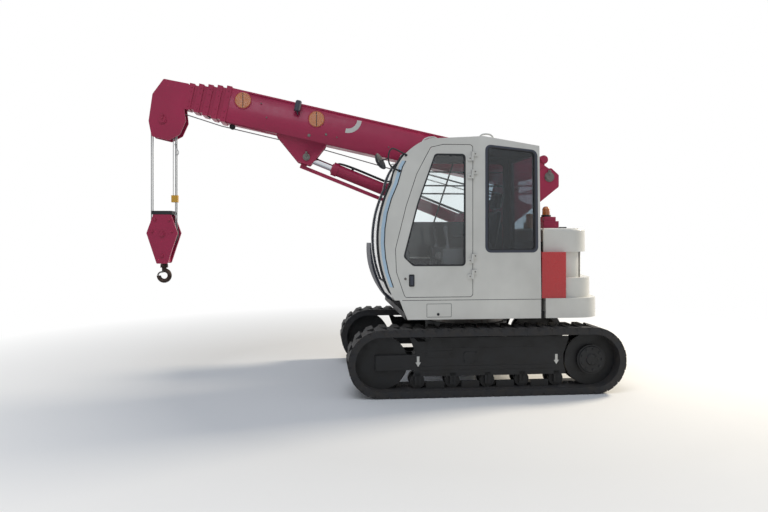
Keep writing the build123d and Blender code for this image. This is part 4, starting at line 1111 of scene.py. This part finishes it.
# %% Tinted rear pane
NEAR_PANES = -1.0    # the cab's panes on the near side lie beyond this y
second_finish("cab_glass", TINTED, lambda polygon: polygon.center.y < NEAR_PANES)

# %% [markdown]
# Small things under and on the boom keep the rope and the hoses in place: a rope guide with a roller
# behind the head, another under the base section, and a slim channel along the top edge that ends in
# a step. The front guide rides on the third section, because on the base it would stand in the way
# of the second one when that slides out.

# %% Rope guides and hose channel
for name, body, x, z, size, hanger in (("rope_guide_front", "section_3", -2960.0, 2990.0, 24, 30),
                                       ("rope_guide_base", "boom", -2700.0, 2868.0, 32, 74)):
    guide = bmesh.new()
    forward, rise = along_boom(x, z)
    add_bar(guide, boom_point(forward, rise, -22), boom_point(forward, rise, 22), size, 28)
    add_box(guide, (x - 12, BOOM_Y - 12, z), (x + 12, BOOM_Y + 12, z + hanger))
    close_piece(name, guide, BLACK, body, 1.5)
channel = bmesh.new()
for corners, y1, rounding in ((rectangle(640, 176, 3700, 190), 50.5, 3.0),
                              (rectangle(640, 160, 700, 214), 70.0, 4.0)):
    add_plate(channel, boom_outline(*corners), 45.0, y1, rounding)
close_piece("boom_hose_channel", channel, RED, "boom", 1.0)

# %% [markdown]
# The far side and the back have what such a machine needs there: pressed louvres that let the
# engine's air out, an exhaust stub, hood latches, a grab rail and red tail lamps on the
# counterweight. The photograph does not show them, so they are plain and typical.

# %% Louvres, latches and lamps at the back
FAR_SIDE = 1008.0
louvres = bmesh.new()
for z in range(1010, 1388, 42):
    for start, end in ((200, 470), (-560, -330)):
        add_plate(louvres, rectangle(start, z, end, z + 24), FAR_SIDE, FAR_SIDE + 9.0, 8.0)
close_piece("side_louvres", louvres, WHITE, "upper", 3.0)
lines = bmesh.new()
for corners in ([(-700, 860), (-60, 860), (-60, 1452), (-620, 1452)], rectangle(-30, 860, 530, 1452)):
    add_ring(lines, corners, FAR_SIDE + 1.0, FAR_SIDE + 3.5, 5.0, 14.0)
close_piece("side_panel_joints", lines, SEAL, "upper")
latches = bmesh.new()
for x, z in ((-110, 1180), (20, 1180)):
    add_bar(latches, (x, FAR_SIDE, z), (x, FAR_SIDE + 8, z), 26, 28)
    add_box(latches, (x - 7, FAR_SIDE + 6, z - 20), (x + 7, FAR_SIDE + 13, z + 20))
for y in (-600, 600):
    add_box(latches, (880, y - 40, HOOD_TOP), (970, y + 40, HOOD_TOP + 9))
    add_box(latches, (905, y - 12, HOOD_TOP + 7), (985, y + 12, HOOD_TOP + 17))
close_piece("hood_latches", latches, SEAL, "upper", 2.0)
EXHAUST_X, EXHAUST_Y = 950, 520
stub = bmesh.new()
for lean, bottom, top, radius in ((0, 0, 14, 74), (0, 10, 110, 42), (40, 96, 148, 42)):
    add_bar(stub, (EXHAUST_X, EXHAUST_Y, HOOD_TOP + bottom), (EXHAUST_X + lean, EXHAUST_Y, HOOD_TOP + top),
            radius, 32)
close_piece("exhaust_stub", stub, IRON, "upper", 3.0)
rail = bmesh.new()
add_tube(rail, [(-760, 1006, 1240), (-790, 1040, 1240), (-800, 1048, 1330), (-790, 1040, 1430),
                (-760, 1006, 1430)], 11)
close_piece("grab_rail", rail, WHITE, "upper")
TAIL_LAMP_RADIUS = 1284
tail = bmesh.new()
for turn in (-32, 32):
    way = Vector((math.cos(math.radians(turn)), math.sin(math.radians(turn)), 0))
    for size, proud in ((46, 12), (34, 20)):
        spot = way * TAIL_LAMP_RADIUS + Vector((0, 0, 850))
        add_bar(tail, spot, spot + way * proud, size, 32)
close_piece("tail_lamps", tail, PANEL_RED, "upper", 2.0)

# %% [markdown]
# The photograph was taken from about eye height, 7.7 m off the machine's left side and a little
# ahead of the slew axis. The lens is fitted from the sizes of track, cab and boom. The horizon
# lies above the middle of the frame, so the film is shifted down by that share of its width.

# %% Camera
PHOTO_WIDTH = 768
LENS_PIXELS = 670.0
HORIZON_ABOVE_MIDDLE = 23.0
CAMERA_PLACE = Vector((-1.726, -7.692, 1.641))
CAMERA_TURN = math.radians(5.7)

camera_data = bpy.data.cameras.new("photo_camera")
camera_data.sensor_width = 36.0
camera_data.lens = LENS_PIXELS / PHOTO_WIDTH * camera_data.sensor_width
camera_data.shift_y = -HORIZON_ABOVE_MIDDLE / PHOTO_WIDTH
camera_data.clip_end = 200.0
camera = bpy.data.objects.new("photo_camera", camera_data)
camera.location = CAMERA_PLACE
camera.rotation_euler = (math.pi / 2, 0.0, -CAMERA_TURN)
bpy.context.scene.collection.objects.link(camera)
bpy.context.scene.camera = camera
print("camera height, m:", round(CAMERA_PLACE.z, 2), "lens, mm:", round(camera_data.lens, 1))

# %% [markdown]
# The machine stands on a pale floor that keeps its shadow. Further away the floor has to melt into
# the white background. More lamps would wash the machine out, so the white is a glow that only some
# rays see: those from the camera, from shiny metal and through glass. The machine's own colours are
# lit by the lamps and a dim dome, and only its gloss mirrors the white.

# %% Floor
def background_rays(tree):
    """One for a ray that should meet the white: seen directly, mirrored or through glass."""
    ray = add(tree, "LightPath")
    direct = add(tree, "Math", {"operation": "MAXIMUM"}, {0: ray.outputs["Is Camera Ray"],
                                                          1: ray.outputs["Is Transmission Ray"]})
    every = add(tree, "Math", {"operation": "MAXIMUM"}, {0: direct.outputs[0],
                                                         1: ray.outputs["Is Glossy Ray"]})
    return every.outputs[0]


def white_floor():
    """A pale floor that keeps the shadow near the machine and fades to white far away."""
    material, tree, shader, place = new_material("pale_studio_floor")
    shader.inputs["Base Color"].default_value = linear("#EDEDEB")
    grain = add(tree, "TexNoise", (), {"Vector": place, "Scale": 3.0, "Detail": 6.0})
    rough = add(tree, "MapRange", (), {"Value": grain.outputs["Fac"], "To Min": 0.8, "To Max": 0.95})
    feed(tree, shader, {"Roughness": rough.outputs["Result"]})
    spread = add(tree, "VectorMath", {"operation": "LENGTH"}, {0: place})
    far = add(tree, "MapRange", (), {"Value": spread.outputs["Value"], "From Min": 3.2, "From Max": 7.5})
    seen = add(tree, "Math", {"operation": "MULTIPLY"}, {0: far.outputs["Result"], 1: background_rays(tree)})
    glow = add(tree, "Emission", (), {"Color": (1, 1, 1, 1), "Strength": 1.0})
    blend = add(tree, "MixShader", (), {0: seen.outputs[0], 1: shader.outputs["BSDF"], 2: glow.outputs[0]})
    output = next(node for node in tree.nodes if node.type == "OUTPUT_MATERIAL")
    feed(tree, output, {"Surface": blend.outputs[0]})
    return material


FLOOR_HALF = 60.0
shape = bmesh.new()
bmesh.ops.create_grid(shape, x_segments=1, y_segments=1, size=FLOOR_HALF)
floor_mesh = bpy.data.meshes.new("studio_floor")
shape.to_mesh(floor_mesh)
shape.free()
floor_mesh.materials.append(white_floor())
floor = bpy.data.objects.new("studio_floor", floor_mesh)
bpy.context.scene.collection.objects.link(floor)
print("floor:", FLOOR_HALF * 2, "m wide")

# %% [markdown]
# Two soft lamps light the machine: a warm one from behind on the far side, and a wide cool one from
# above on the camera's side, as an open sky would. A pale dome all round fills the rest.

# %% Lamps and sky
def area_light(name, place, aim, size, power, colour):
    """A soft square lamp at a place, turned to face aim."""
    data = bpy.data.lights.new(name, "AREA")
    data.size = size
    data.energy = power
    data.color = linear(colour)[:3]
    lamp = bpy.data.objects.new(name, data)
    lamp.location = place
    lamp.rotation_euler = (Vector(aim) - Vector(place)).to_track_quat("-Z", "Y").to_euler()
    bpy.context.scene.collection.objects.link(lamp)


area_light("sun_side", (8.5, 2.6, 6.6), (0.0, 0.0, 1.2), 2.4, 1150.0, "#FFF3DF")
area_light("sky_fill", (-3.0, -6.5, 11.0), (-0.5, 0.0, 1.2), 7.0, 400.0, "#EEF3FF")

world = bpy.data.worlds.new("studio_world")
world.use_nodes = True
bpy.context.scene.world = world
sky = world.node_tree
sky.nodes.clear()
dome = add(sky, "Background", (), {"Color": linear("#DDE6F2"), "Strength": 0.42})
screen = add(sky, "Background", (), {"Color": (1, 1, 1, 1), "Strength": 1.0})
both = add(sky, "MixShader", (), {0: background_rays(sky), 1: dome.outputs[0], 2: screen.outputs[0]})
add(sky, "OutputWorld", (), {"Surface": both.outputs[0]})
bpy.context.scene.view_settings.view_transform = "Standard"
print("lamps:", len(bpy.data.lights))
